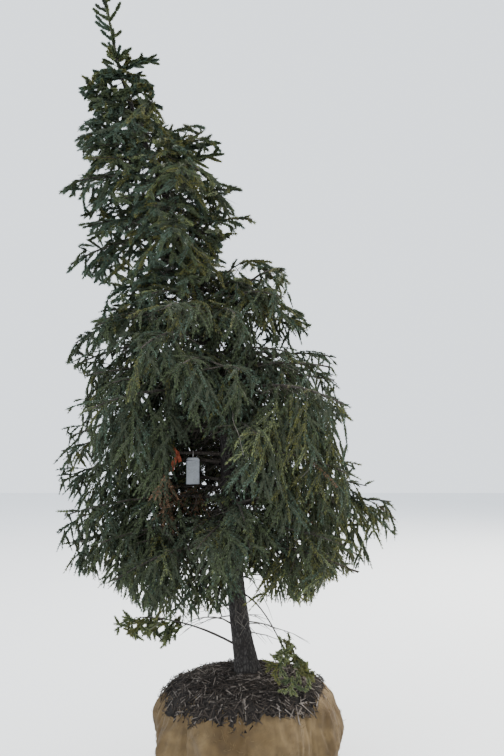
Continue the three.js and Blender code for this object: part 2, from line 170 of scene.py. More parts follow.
def smooth_curve(knots: Array, values: Array, at: Array) -> Array:
    """A smooth curve through named points: cubic steps with slopes from the neighbours.

    Args:
        knots: The places of the named points, rising.
        values: The curve's value at each.
        at: Where the curve is wanted, held between the first and last knot.

    Returns:
        The curve's values at those places.
    """
    at = np.clip(at, knots[0], knots[-1])
    low = np.maximum(np.arange(len(knots)) - 1, 0)
    high = np.minimum(np.arange(len(knots)) + 1, len(knots) - 1)
    slopes = (values[high] - values[low]) / (knots[high] - knots[low])
    i = np.clip(np.searchsorted(knots, at, side="left") - 1, 0, len(knots) - 2)
    step = knots[i + 1] - knots[i]
    t = (at - knots[i]) / step
    return (
        (2 * t**3 - 3 * t**2 + 1) * values[i]
        + (t**3 - 2 * t**2 + t) * step * slopes[i]
        + (3 * t**2 - 2 * t**3) * values[i + 1]
        + (t**3 - t**2) * step * slopes[i + 1]
    )


class SeededSource:
    """The seeded source of even numbers that the solids use, draw for draw."""

    def __init__(self, seed: int) -> None:
        """Starts the source at a seed."""
        self.state = seed & MASK

    def draw(self) -> float:
        """The next number from 0 to 1."""
        self.state = (self.state + 0x6D2B79F5) & MASK
        t = self.state
        t = ((t ^ (t >> 15)) * (t | 1)) & MASK
        t ^= (t + (((t ^ (t >> 7)) * (t | 61)) & MASK)) & MASK
        return ((t ^ (t >> 14)) & MASK) / 4294967296.0

    def between(self, low: float, high: float) -> float:
        """A number between two limits."""
        return low + (high - low) * self.draw()

    def either_way(self, size: float) -> float:
        """A number up to size on either side of zero."""
        return self.between(-size, size)


@dataclass
class Surface:
    """A triangle mesh in millimetres, before it becomes a piece."""

    points: Array
    triangles: Array

    @staticmethod
    def joined(parts: list["Surface"]) -> "Surface":
        """Puts several surfaces into one."""
        starts = np.cumsum([0] + [len(part.points) for part in parts[:-1]])
        triangles = np.concatenate([part.triangles + start for part, start in zip(parts, starts)])
        return Surface(np.concatenate([part.points for part in parts]), triangles)

    @staticmethod
    def repeated(corners: list[Array], faces: list[list[int]]) -> "Surface":
        """Many small shapes that have the same faces."""
        points = np.stack(corners, axis=1)
        starts = len(corners) * np.arange(len(points))[:, None, None]
        return Surface(points.reshape(-1, 3), (np.array(faces)[None] + starts).reshape(-1, 3))

    @staticmethod
    def skinned(rings: Array) -> "Surface":
        """The closed surface over a stack of rings, each end a fan round its middle.

        Args:
            rings: An array of rings, by points in a ring, by three coordinates.

        Returns:
            The closed surface.
        """
        count, sides, _ = rings.shape
        index = np.arange(count * sides).reshape(count, sides)
        a, c = index[:-1], index[1:]
        b, d = np.roll(a, -1, axis=1), np.roll(c, -1, axis=1)
        first, last = index[0], index[-1]
        low, top = np.full(sides, count * sides), np.full(sides, count * sides + 1)
        corners = ((a, b, d), (a, d, c), (low, np.roll(first, -1), first), (top, last, np.roll(last, -1)))
        triangles = np.concatenate([np.stack(three, axis=-1).reshape(-1, 3) for three in corners])
        middles = np.stack([rings[0].mean(axis=0), rings[-1].mean(axis=0)])
        return Surface(np.concatenate([rings.reshape(-1, 3), middles]), triangles)

    @staticmethod
    def tube(line: Array, radii: Array, sides: int) -> "Surface":
        """A tube of round section along a line.

        Args:
            line: Rows of points along its middle.
            radii: The radius at each.
            sides: The number of points round it.

        Returns:
            The closed surface.
        """
        across, upright = sides_of(unit(np.gradient(line, axis=0)), 0.97)
        angle = round_angles(sides)[None, :, None]
        ring = across[:, None] * np.cos(angle) + upright[:, None] * np.sin(angle)
        return Surface.skinned(line[:, None] + ring * radii[:, None, None])


def linked(name: str, data: bpy.types.ID) -> bpy.types.Object:
    """Makes an object that shows some data, and puts it into the scene."""
    made = bpy.data.objects.new(name, data)
    bpy.context.scene.collection.objects.link(made)
    return made


def add_piece(
    name: str,
    surface: Surface,
    finish: "Finish",
    replaces: tuple[str, ...] = (),
    smooth: bool = True,
) -> None:
    """Makes a surface into a piece of the scene that rides on the part's only body.

    Args:
        name: The piece's name.
        surface: Its mesh in millimetres.
        finish: Its finish.
        replaces: The names of the solids that it stands for.
        smooth: Whether its faces are shaded smooth.
    """
    count = len(surface.triangles)
    mesh = bpy.data.meshes.new(name)
    mesh.vertices.add(len(surface.points))
    mesh.vertices.foreach_set("co", (surface.points * MILLIMETRE).astype(np.float32).ravel())
    mesh.loops.add(count * 3)
    mesh.loops.foreach_set("vertex_index", surface.triangles.astype(np.int32).ravel())
    mesh.polygons.add(count)
    mesh.polygons.foreach_set("loop_start", np.arange(0, count * 3, 3, dtype=np.int32))
    mesh.polygons.foreach_set("use_smooth", np.full(count, smooth))
    mesh.update(calc_edges=True)
    mesh.materials.append(finish.build())
    piece = linked(name, mesh)
    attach(piece, "root")
    if replaces:
        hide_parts(*replaces)
    LOG.info("%s: %d triangles", name, count)


class NodeBoard:
    """Places nodes in a node tree and joins their sockets."""

    def __init__(self, tree: bpy.types.NodeTree) -> None:
        """Takes the tree to work in."""
        self.tree = tree

    def add(self, kind: str, settings: dict | None = None, **sockets: object) -> Node:
        """Adds a node.

        Args:
            kind: The end of the node's type name.
            settings: Values of the node's own properties.
            **sockets: Values or output sockets for its inputs, with _ for a space.

        Returns:
            The new node.
        """
        node = self.tree.nodes.new(f"ShaderNode{kind}")
        for key, value in (settings or {}).items():
            setattr(node, key, value)
        for key, value in sockets.items():
            self.feed(node.inputs[key.replace("_", " ")], value)
        return node

    def feed(self, socket: Socket, value: object) -> None:
        """Sets an input socket to a value, or links it to an output socket.

        Args:
            socket: The input.
            value: A plain value or an output socket.
        """
        if isinstance(value, Socket):
            self.tree.links.new(value, socket)
        else:
            socket.default_value = value

    def math(self, kind: str, operation: str, *values: object) -> Socket:
        """Adds a node that reckons.

        Args:
            kind: Math, or VectorMath.
            operation: What it does.
            *values: Its inputs in order, plain values or output sockets.

        Returns:
            Its output.
        """
        node = self.add(kind, {"operation": operation})
        for socket, value in zip(node.inputs, values):
            self.feed(socket, value)
        return node.outputs[0]

    def noise(self, place: Socket, scale: Socket | float, detail: float) -> Node:
        """Adds a noise texture."""
        return self.add("TexNoise", Vector=place, Scale=scale, Detail=detail)

    def ramp(self, source: Socket, low: float, high: float) -> Socket:
        """Spreads the stretch of an output from low to high over 0 to 1."""
        return self.add("MapRange", Value=source, From_Min=low, From_Max=high).outputs["Result"]

    def blend(self, share: Socket, first: Socket | Color, second: Socket | Color) -> Socket:
        """Mixes two colours.

        Args:
            share: How much of the second is taken, 0 to 1.
            first: A colour or an output socket.
            second: A colour or an output socket.

        Returns:
            The mixed colour.
        """
        mix = self.add("Mix", {"data_type": "RGBA"})
        self.feed(mix.inputs["Factor"], share)
        for place, color in ((6, first), (7, second)):
            self.feed(mix.inputs[place], (*color, 1.0) if isinstance(color, tuple) else color)
        return mix.outputs[2]

    def mottled(self, patch: float, fleck: float) -> tuple[Socket, Socket]:
        """Adds the mottle at two scales, and gives its patches and flecks."""
        sizes = {"Patch_Scale": patch, "Fleck_Scale": fleck}
        return tuple(self.add("Group", {"node_tree": Effects.mottle()}, **sizes).outputs)

    def cover(self, shader: Node, tone: Socket, height: Socket, relief: float, strength: float) -> None:
        """Gives a shader its colour and its relief."""
        bump = self.add("Bump", Distance=relief, Strength=strength, Height=height)
        self.feed(shader.inputs["Base Color"], tone)
        self.feed(shader.inputs["Normal"], bump.outputs["Normal"])


def new_group(
    name: str, inputs: dict[str, float], outputs: tuple[str, ...]
) -> tuple[NodeBoard, Node, Node]:
    """Starts a shader node group with named inputs and outputs.

    Args:
        name: The group's name.
        inputs: The inputs and their usual values.
        outputs: The outputs.

    Returns:
        A board for the group's nodes, with its input node and its output node.
    """
    tree = bpy.data.node_groups.new(name, "ShaderNodeTree")
    for label, value in inputs.items():
        socket = tree.interface.new_socket(label, in_out="INPUT", socket_type="NodeSocketFloat")
        socket.default_value = value
    for label in outputs:
        tree.interface.new_socket(label, in_out="OUTPUT", socket_type="NodeSocketFloat")
    return NodeBoard(tree), tree.nodes.new("NodeGroupInput"), tree.nodes.new("NodeGroupOutput")


class Effects:
    """The shader node groups that several finishes share, each built when it is first used."""

    @staticmethod
    @cache
    def mottle() -> bpy.types.NodeTree:
        """Soft patches of two sizes, for colour that varies over a surface."""
        scales = {"Patch Scale": 8.0, "Fleck Scale": 90.0}
        board, given, taken = new_group("mottle", scales, ("Patches", "Flecks"))
        place = board.add("TexCoord").outputs["Object"]
        for index, (detail, low, high) in enumerate(((3.0, 0.36, 0.64), (2.0, 0.34, 0.66))):
            noise = board.noise(place, given.outputs[index], detail)
            board.feed(taken.inputs[index], board.ramp(noise.outputs["Fac"], low, high))
        return board.tree

    @staticmethod
    @cache
    def plates() -> bpy.types.NodeTree:
        """Thin bark plates, longer than wide, with dark cracks between them."""
        sizes = {"Plate Scale": 60.0, "Length Share": 0.4}
        board, given, taken = new_group("bark_plates", sizes, ("Crack", "Relief"))
        place = board.add("TexCoord").outputs["Object"]
        stretch = board.add("CombineXYZ", X=1.0, Y=1.0, Z=given.outputs[1]).outputs[0]
        longer = board.math("VectorMath", "MULTIPLY", place, stretch)
        warp = board.noise(longer, 35.0, 2.0).outputs["Color"]
        moved = board.math("VectorMath", "MULTIPLY_ADD", warp, (0.012, 0.012, 0.012), longer)
        edges = {"feature": "DISTANCE_TO_EDGE"}
        cells = board.add("TexVoronoi", edges, Vector=moved, Scale=given.outputs[0])
        edge = board.ramp(cells.outputs["Distance"], 0.0, 0.22)
        grain = board.noise(place, 260.0, 3.0).outputs["Fac"]
        board.feed(taken.inputs[0], board.math("Math", "SUBTRACT", 1.0, edge))
        board.feed(taken.inputs[1], board.math("Math", "MULTIPLY_ADD", grain, 0.35, edge))
        return board.tree


def new_finish(name: str, roughness: float, gloss: float = 0.22) -> tuple[Material, NodeBoard, Node]:
    """Starts a material with a Principled shader.

    Args:
        name: The material's name.
        roughness: Its even roughness.
        gloss: How strongly it mirrors.

    Returns:
        The material, a board for its nodes, and its shader.
    """
    material = bpy.data.materials.new(name)
    material.use_nodes = True
    shader = material.node_tree.nodes["Principled BSDF"]
    shader.inputs["Roughness"].default_value = roughness
    shader.inputs["Specular IOR Level"].default_value = gloss
    return material, NodeBoard(material.node_tree), shader


@dataclass(frozen=True)
class BarkFinish:
    """Scaly bark: a base tone, greyer lichen in patches and dark cracks between plates."""

    name: str
    wood: Color
    lichen: Color
    crack: Color
    plate_scale: float
    relief: float

    @cache
    def build(self) -> Material:
        """Makes the material, once."""
        material, board, shader = new_finish(self.name, 0.9, 0.25)
        patches, flecks = board.mottled(9.0, 120.0)
        plates = board.add("Group", {"node_tree": Effects.plates()}, Plate_Scale=self.plate_scale)
        tone = board.blend(patches, self.wood, self.lichen)
        tone = board.blend(flecks, tone, tuple(0.62 * part for part in self.wood))
        tone = board.blend(plates.outputs["Crack"], tone, self.crack)
        board.cover(shader, tone, plates.outputs["Relief"], self.relief, 0.8)
        return material


@dataclass(frozen=True)
class NeedleFinish:
    """Waxy needles in one tint, with a paler, bluer underside."""

    name: str
    tint: Color
    fresh: Color
    under: Color

    @cache
    def build(self) -> Material:
        """Makes the material, once."""
        material, board, shader = new_finish(f"needles_{self.name}", 0.5, 0.1)
        patches, flecks = board.mottled(5.0, 60.0)
        tone = board.blend(flecks, self.tint, self.fresh)
        back = board.add("NewGeometry").outputs["Backfacing"]
        board.feed(shader.inputs["Base Color"], board.blend(back, tone, self.under))
        waxy = board.add("MapRange", Value=patches, To_Min=0.5, To_Max=0.7)
        board.feed(shader.inputs["Roughness"], waxy.outputs["Result"])
        return material


@dataclass(frozen=True)
class BurlapFinish:
    """Coarse woven burlap, stained by the soil inside it, with painted shade in the gaps of its weave."""

    name: str
    thread: Color
    faded: Color
    stain_and_shade: Color
    threads_per_metre: float

    @cache
    def build(self) -> Material:
        """Makes the material, once."""
        material, board, shader = new_finish(self.name, 0.95)
        patches, flecks = board.mottled(5.0, 16.0)
        tone = board.blend(patches, self.thread, self.faded)
        tone = board.blend(board.math("Math", "MULTIPLY", flecks, 0.42), tone, self.stain_and_shade)
        place = board.add("TexCoord").outputs["Object"]
        size = {"Scale": self.threads_per_metre / 6.28, "Distortion": 1.2, "Detail": 1.0}
        waves = []
        for axis in ("Z", "DIAGONAL"):
            bands = {"wave_type": "BANDS", "bands_direction": axis}
            waves.append(board.add("TexWave", bands, Vector=place, **size).outputs["Fac"])
        height = board.math("Math", "MAXIMUM", *waves)
        # Painted shade: the low gaps between the threads are darkened towards the stain colour.
        shade = board.math("Math", "MULTIPLY", board.ramp(height, 0.55, 0.0), 0.5)
        board.cover(shader, board.blend(shade, tone, self.stain_and_shade), height, 0.0012, 0.7)
        shader.inputs["Sheen Weight"].default_value = 0.04
        shader.inputs["Sheen Roughness"].default_value = 0.6
        return material


@dataclass(frozen=True)
class PlainFinish:
    """One tone with worn or dirty patches, for small made things, soil and shreds of wood."""

    name: str
    base: Color
    worn: Color
    roughness: float
    patch_scale: float = 12.0
    fleck_scale: float = 150.0
    relief: float = 0.0004
    metallic: float = 0.0
    gloss: float = 0.2

    @cache
    def build(self) -> Material:
        """Makes the material, once."""
        material, board, shader = new_finish(self.name, self.roughness, self.gloss)
        patches, flecks = board.mottled(self.patch_scale, self.fleck_scale)
        both = board.math("Math", "MULTIPLY", patches, flecks)
        board.cover(shader, board.blend(both, self.base, self.worn), flecks, self.relief, 0.6)
        shader.inputs["Metallic"].default_value = self.metallic
        return material


Finish = BarkFinish | NeedleFinish | BurlapFinish | PlainFinish


class Tint(Enum):
    """The tints that sprays of needles come in."""

    DEEP = NeedleFinish("deep", (0.035, 0.044, 0.026), (0.048, 0.06, 0.036), (0.05, 0.061, 0.043))
    BLUE = NeedleFinish("blue", (0.04, 0.065, 0.041), (0.058, 0.09, 0.057), (0.072, 0.096, 0.074))
    MID = NeedleFinish("mid", (0.046, 0.062, 0.026), (0.066, 0.086, 0.037), (0.068, 0.083, 0.046))
    OLIVE = NeedleFinish("olive", (0.08, 0.083, 0.021), (0.116, 0.114, 0.03), (0.098, 0.098, 0.044))
    FRESH = NeedleFinish("fresh", (0.105, 0.125, 0.042), (0.16, 0.175, 0.064), (0.13, 0.148, 0.082))
    DRY = NeedleFinish("dry", (0.12, 0.06, 0.032), (0.17, 0.092, 0.05), (0.12, 0.075, 0.05))


# The trunk's bark tones are darker than the bark itself: its grey-brown with painted shade over all of it.
TRUNK_BARK = BarkFinish(
    "trunk_bark", (0.037, 0.031, 0.028), (0.064, 0.06, 0.057), (0.012, 0.01, 0.009), 60.0, 0.004
)
BOUGH_BARK = BarkFinish(
    "bough_bark", (0.062, 0.05, 0.041), (0.115, 0.102, 0.09), (0.025, 0.02, 0.016), 120.0, 0.002
)
TWIG_BARK = PlainFinish("twig_bark", (0.03, 0.036, 0.02), (0.046, 0.05, 0.03), 0.85, 14.0, 200.0)
INNER_BARK = PlainFinish("inner_bark", (0.055, 0.045, 0.036), (0.11, 0.098, 0.085), 0.9, 10.0, 140.0)
DEAD_BARK = PlainFinish("dead_bark", (0.085, 0.074, 0.063), (0.19, 0.175, 0.155), 0.9, 10.0, 140.0)
# The burlap's tones are darker than the light tan cloth: its own colour with painted shade over all of it.
BURLAP = BurlapFinish("burlap", (0.082, 0.051, 0.021), (0.16, 0.108, 0.05), (0.036, 0.024, 0.014), 420.0)
FRAY = PlainFinish("frayed_threads", (0.13, 0.088, 0.04), (0.2, 0.145, 0.075), 0.95, 12.0, 90.0)
SOIL = PlainFinish("soil", (0.012, 0.01, 0.009), (0.026, 0.021, 0.018), 0.97, 9.0, 70.0, 0.004)
SHREDS = (
    PlainFinish("shreds_dark", (0.018, 0.015, 0.013), (0.034, 0.028, 0.024), 0.93, 10.0, 120.0),
    PlainFinish("shreds_brown", (0.036, 0.028, 0.023), (0.06, 0.048, 0.04), 0.9, 10.0, 120.0),
    PlainFinish("shreds_pale", (0.11, 0.092, 0.078), (0.2, 0.175, 0.155), 0.88, 10.0, 120.0),
)
# The card itself is white: its grey base is painted shade over the whole card.
CARD = PlainFinish("tag_card", (0.5, 0.52, 0.55), (0.36, 0.37, 0.385), 0.55, 22.0, 130.0, 0.0001)
TAPE = PlainFinish("ribbon_tape", (0.42, 0.1, 0.05), (0.27, 0.065, 0.034), 0.42, 25.0, 160.0, 0.0006)
WIRE = PlainFinish("tag_wire", (0.62, 0.6, 0.57), (0.34, 0.3, 0.26), 0.55, 30.0, 200.0, 0.0001, 0.6)


def splinters(
    middle: Array,
    along: Array,
    across: Array,
    half_long: Array,
    half_wide: Array,
    half_thick: Array,
    random: np.random.Generator,
) -> Surface:
    """Many shreds of wood, each a thin closed bar that narrows to one end.

    Args:
        middle: The middle of each.
        along: Its direction.
        across: Its width's direction.
        half_long: Half its length.
        half_wide: Half its width.
        half_thick: Half its thickness.
        random: The source for its raggedness.

    Returns:
        All of them as one surface.
    """
    upward = np.cross(along, across)
    corners = []
    for end, narrow in ((-1, 1.0), (1, 0.45)):
        for side, up in ((-1, -1), (1, -1), (1, 1), (-1, 1)):
            ragged = random.uniform(0.75, 1.1, len(middle)) * half_long * end
            edge = middle + along * ragged[:, None] + across * (side * narrow * half_wide)[:, None]
            corners.append(edge + upward * (up * half_thick)[:, None])
    faces = [
        [0, 2, 1], [0, 3, 2], [4, 5, 6], [4, 6, 7], [0, 1, 5], [0, 5, 4],
        [1, 2, 6], [1, 6, 5], [2, 3, 7], [2, 7, 6], [3, 0, 4], [3, 4, 7],
    ]
    return Surface.repeated(corners, faces)


@dataclass(frozen=True)
class RootBall:
    """The sack of soil: its turned profile, pleats, folds and what lies on its top."""

    height: float = 640.0
    radius: float = 570.0
    foot_radius: float = 400.0
    seat_radius: float = 130.0
    rings: Table = ((0.88, 0.14), (0.98, 0.36), (1.0, 0.58), (0.93, 0.78), (0.78, 0.92), (0.5, 0.985))
    pleats: int = 9
    pleat_depth: float = 26.0
    unevenness: float = 0.6
    fold_depth: float = 15.0
    around: int = 220
    up: int = 96
    lip: float = 0.76
    lip_radius: float = 0.94
    chips: int = 4200
    threads: int = 3600

    def profile(self, share: Array) -> tuple[Array, Array]:
        """The turned profile, from the middle of the underside to the middle of the top.

        Args:
            share: How far along the profile, 0 to 1.

        Returns:
            The radius and height at each place.
        """
        corners = [(0.0, 0.0), (self.foot_radius, 0.0)]
        corners += [(r * self.radius, z * self.height) for r, z in self.rings]
        corners += [(self.seat_radius, self.height), (0.0, self.height)]
        line = np.array(corners)
        gone = np.concatenate([[0], np.cumsum(np.linalg.norm(np.diff(line, axis=0), axis=1))])
        radius, height = (np.interp(share * gone[-1], gone, line[:, axis]) for axis in (0, 1))
        for values in (radius, height, radius, height):
            values[1:-1] = (values[:-2] + 2 * values[1:-1] + values[2:]) / 4
        return radius, np.maximum(height, 0.0)

    def gathered(self, radius: Array | float, height: Array | float, angle: Array) -> Array:
        """Draws the sack in between its pleats and lays folds of cloth over it.

        Args:
            radius: The turned radius of each point.
            height: The height of each.
            angle: The angle of each, in radians.

        Returns:
            The new radius of each point.
        """
        wave = np.sin(self.pleats * angle + self.unevenness * np.sin(3 * angle))
        belly = np.sin(math.pi * np.clip(height / self.height, 0, 1))
        drawn = radius + self.pleat_depth * (wave * (0.25 + 0.75 * belly) - 1)
        folds = value_noise(polar(7, angle, height / 260), 11)
        creases = value_noise(polar(21, angle, height / 120), 12)
        lumps = value_noise(polar(3.8, angle, height / 150 + 4), 15)
        ridge = 1 - np.abs(2 * creases - 1)
        relief = 1.9 * (2 * lumps - 1) + 2 * folds - 1 + 2.4 * (ridge - 0.75)
        drawn = drawn + self.fold_depth * belly**0.5 * relief
        return np.where(radius > self.seat_radius + 1, drawn, radius)

    def sack(self) -> Surface:
        """The burlap sack as one closed surface."""
        radius, height = self.profile(np.linspace(0, 1, self.up + 2)[1:-1, None])
        angle = round_angles(self.around)
        return Surface.skinned(polar(self.gathered(radius, height, angle), angle, height))

    def top_at(self, reach: Array, angle: Array) -> Array:
        """The height of the sack's top side at some places.

        Args:
            reach: Their distance from the middle.
            angle: Their angle in radians.

        Returns:
            The height of the surface there.
        """
        radius, height = self.profile(np.linspace(0.5, 1, 200))
        widest = int(np.argmax(radius))
        radius, height = radius[widest:], height[widest:]
        drawn = self.gathered(radius, height, angle[:, None])
        return height[np.abs(drawn - reach[:, None]).argmin(axis=1)]

    def cover(self, angle: Array) -> Array:
        """How far from the middle the mulch reaches: farther down on the left and front.

        Args:
            angle: The angle in radians.

        Returns:
            The reach in millimetres.
        """
        left = 0.5 - 0.5 * np.cos(angle - math.radians(15))
        ragged = value_noise(polar(5, angle), 13)
        reach = self.radius * (0.785 + 0.13 * left + 0.09 * (ragged - 0.5))
        lip = self.gathered(self.lip_radius * self.radius, self.lip * self.height, angle)
        return np.minimum(reach, lip)

    def soil(self) -> Surface:
        """The lumpy layer of soil and fine shreds on the top, closed underneath."""
        angle = round_angles(120)
        edge = self.cover(angle)
        layers = [(0.2, -14), (0.6, -14), (0.97, -10)]
        for share in np.linspace(1, 0.03, 34):
            lumps = value_noise(polar(edge * share, angle) / 38, 14)
            layers.append((share, (4 + 16 * lumps) * min(1.0, (1 - share) * 9) - 2))
        rings = [
            polar(edge * share, angle, self.top_at(edge * share, angle) + lift) for share, lift in layers
        ]
        return Surface.skinned(np.array(rings))

    def frayed(self) -> Surface:
        """The loose ends of thread that stand off the sack."""
        random = np.random.default_rng(43)
        angle = random.uniform(0, TURN, self.threads)
        radius, height = self.profile(np.linspace(0.3, 0.86, 60))
        pick = random.integers(0, 60, self.threads)
        reach = self.gathered(radius[pick], height[pick], angle)
        outward = polar(1, angle)
        middle = outward * (reach + 3)[:, None] + UP * height[pick][:, None]
        turn = random.uniform(0, TURN, self.threads)[:, None]
        along = np.cross(UP, outward) * np.cos(turn) + UP * np.sin(turn)
        along = unit(along + outward * random.uniform(0.1, 0.7, turn.shape))
        across = unit(np.cross(along, outward))
        long = random.uniform(5, 19, self.threads)
        return splinters(middle, along, across, long, 0 * long + 0.8, 0 * long + 0.7, random)

    def shreds(self) -> list[Surface]:
        """The shreds of wood that lie over the soil, in three lots by tone."""
        random = np.random.default_rng(41)
        angle = random.uniform(0, TURN, self.chips)
        reach = self.cover(angle) * np.sqrt(random.uniform(0.012, 1.02, self.chips))
        height = self.top_at(reach, angle) + random.uniform(4, 26, self.chips)
        outward = polar(1, angle)
        slope = np.clip((self.top_at(reach + 25, angle) - self.top_at(reach - 25, angle)) / 50, -1.6, 0)
        downhill = unit(outward + slope[:, None] * UP)
        level = np.cross(UP, outward)
        normal = unit(np.cross(downhill, level))
        turn = random.uniform(0, math.pi, self.chips)[:, None]
        along = downhill * np.cos(turn) + level * np.sin(turn)
        along = unit(along + normal * random.normal(0, 0.22, (self.chips, 1)))
        long = random.uniform(20, 68, self.chips) * random.choice([0.7, 1.0, 1.7], self.chips)
        wide = random.uniform(3, 9, self.chips)
        thick = random.uniform(1.2, 3.2, self.chips)
        tone = random.choice(3, self.chips, p=[0.42, 0.38, 0.2])
        across = unit(np.cross(normal, along))
        parts = (polar(reach, angle, height), along, across, long / 2, wide / 2, thick / 2)
        return [splinters(*(part[tone == kind] for part in parts), random) for kind in range(3)]

    def build(self) -> None:
        """Makes the ball's pieces."""
        add_piece("burlap_ball", self.sack(), BURLAP, ("root_ball",))
        add_piece("ball_soil", self.soil(), SOIL)
        add_piece("frayed_threads", self.frayed(), FRAY, smooth=False)
        for finish, lot in zip(SHREDS, self.shreds()):
            add_piece(finish.name, lot, finish, smooth=False)


@dataclass(frozen=True)
class Trunk:
    """The trunk's line, taper, flare and bark. Heights are above the ball."""

    knots: tuple[float, ...] = (0, 310, 850, 1620, 1990, 2420, 2910, 3670, 4320)
    lean: tuple[float, ...] = (0, -50, -108, -146, -245, -358, -522, -800, -935)
    sway: float = 22.0
    sway_length: float = 1500.0
    tip: float = 4320.0
    stem_end: float = 4222.0
    radius_at_foot: float = 59.0
    pointed_at: float = 4450.0
    flare: float = 24.0
    flare_height: float = 130.0
    flare_lobes: int = 5
    lobe_depth: float = 0.3
    sides: int = 44
    base: float = 640.0

    def middle(self, height: Array | float) -> Array:
        """The trunk's middle at one height, or at several.

        Args:
            height: The height or heights.

        Returns:
            A point, or rows of points.
        """
        height = np.asarray(height, dtype=float)
        x = smooth_curve(np.array(self.knots, float), np.array(self.lean, float), height)
        y = self.sway * np.sin(math.pi * height / self.sway_length)
        return np.stack([x, y, self.base + height], axis=-1)

    def radius(self, height: Array, angle: Array) -> Array:
        """The trunk's radius, with the flare where its roots start."""
        wood = self.radius_at_foot * (1 - height / self.pointed_at)
        lobes = 1 + self.lobe_depth * np.cos(self.flare_lobes * angle)
        return wood + self.flare * lobes * np.exp(-height / self.flare_height)

    def surface(self, limbs: list["Limb"]) -> Surface:
        """The trunk up to the leader's tip, with bark in relief and a collar under each limb.

        Args:
            limbs: The limbs that leave it.

        Returns:
            The closed surface.
        """
        high = 700 + (self.stem_end - 700) * np.linspace(0, 1, 230)[1:]
        heights = np.concatenate([np.linspace(-12, 700, 190), high])
        h, a = np.meshgrid(heights, round_angles(self.sides), indexing="ij")
        radius = self.radius(np.maximum(h, 0), a)
        place = polar(radius, a, h)
        plates, crumbs, lumps = (
            value_noise(place / np.array(cell), seed)
            for seed, cell in ((21, [15, 15, 34]), (22, [6, 6, 9]), (23, [60, 60, 130]))
        )
        ridges = 1 - np.abs(2 * plates - 1)
        rough = np.clip(radius / self.radius_at_foot, 0.05, 1)
        relief = rough * (3.4 * (ridges - 0.5) + 1.8 * (crumbs - 0.5) + 5.0 * (lumps - 0.5))
        for limb in limbs:
            around = (a - limb.azimuth + math.pi) % TURN - math.pi
            spread = (around * radius / 26) ** 2 + ((h - limb.whorl.height) / 30) ** 2
            relief = relief + 0.5 * limb.radius(0.0) * np.exp(-spread)
        radius = np.maximum(radius + relief, 1.2)
        return Surface.skinned(self.middle(heights)[:, None] + polar(radius, a))


@dataclass(frozen=True)
class Whorl:
    """One level of limbs. left, right and front say how far its tips reach."""

    name: str
    height: float
    limbs: int
    turn: float
    left: float
    right: float
    front: float
    rise: float
    lift: float
    sag: float
    hang: float
    bare: float
    fronds: int


def single(
    height: float, turn: float, reach: float, rise: float, sag: float, hang: float, bare: float, fronds: int
) -> Whorl:
    """A level with a single limb, which reaches as far to every side."""
    return Whorl("odd", height, 1, turn, reach, reach, 1, rise, 0, sag, hang, bare, fronds)


WHORLS = (
    Whorl("skirt", 760, 4, 48, 960, 990, 1, 0.12, 0, 0.24, -42, 0.34, 8),
    Whorl("low", 1000, 4, 8, 930, 1010, 0.65, 0.16, 0.06, 0.26, -46, 0.38, 7),
    Whorl("tagged", 1290, 3, 67, 970, 900, 1, 0.1, 0.1, 0.24, -46, 0.42, 7),
    Whorl("waist", 1640, 4, 45, 990, 1100, 1, 0.16, 0.1, 0.28, -48, 0.36, 7),
    Whorl("shoulder", 1960, 4, 342, 1000, 760, 1, 0.2, 1.9, 0.36, -48, 0.24, 7),
    Whorl("neck", 2290, 3, 205, 600, 330, 1, 0.2, 0.1, 0.32, -46, 0, 6),
    Whorl("middle", 2620, 4, 176, 800, 440, 1, 0.14, 0.2, 0.36, -42, 0, 7),
    Whorl("upper", 2960, 4, 200, 690, 570, 1, 0.24, 0.1, 0.42, -34, 0, 7),
    Whorl("high", 3290, 3, 168, 500, 540, 1, 0.22, 0.3, 0.26, -26, 0, 7),
    Whorl("crest", 3510, 3, 205, 300, 280, 1, 0.3, 0.3, 0.2, -8, 0, 6),
)


@dataclass(frozen=True)
class Infill:
    """A lot of lesser limbs in each gap between whorls.

    at and spread say where in the gap they stand, and reach is a share of the whorl's own.
    """

    limbs: int
    at: float
    spread: float
    reach: float
    turn: float
    fronds: int

    def level(self, whorl: Whorl, top: float, number: int) -> Whorl:
        """The level of one of the lot.

        Args:
            whorl: The whorl under the gap.
            top: The height of the gap's top.
            number: Which of the lot it is.

        Returns:
            The level.
        """
        stagger = (3 * number % self.limbs) / self.limbs
        return replace(
            whorl,
            height=whorl.height + (top - whorl.height) * (self.at + self.spread * stagger),
            limbs=self.limbs,
            turn=whorl.turn + self.turn,
            left=self.reach * whorl.left,
            right=self.reach * whorl.right,
            front=1,
            lift=0.3 * whorl.lift,
            sag=0.8 * whorl.sag,
            bare=0.5 * whorl.bare,
            fronds=self.fronds,
        )


INFILLS = (
    Infill(5, 0.25, 0.2, 0.72, 20.0, 6),
    Infill(5, 0.6, 0.25, 0.54, 57.0, 5),
    Infill(7, 0.0, 1.0, 0.34, 5.0, 3),
    Infill(6, 0.45, 0.1, 0.88, 33.0, 6),
)
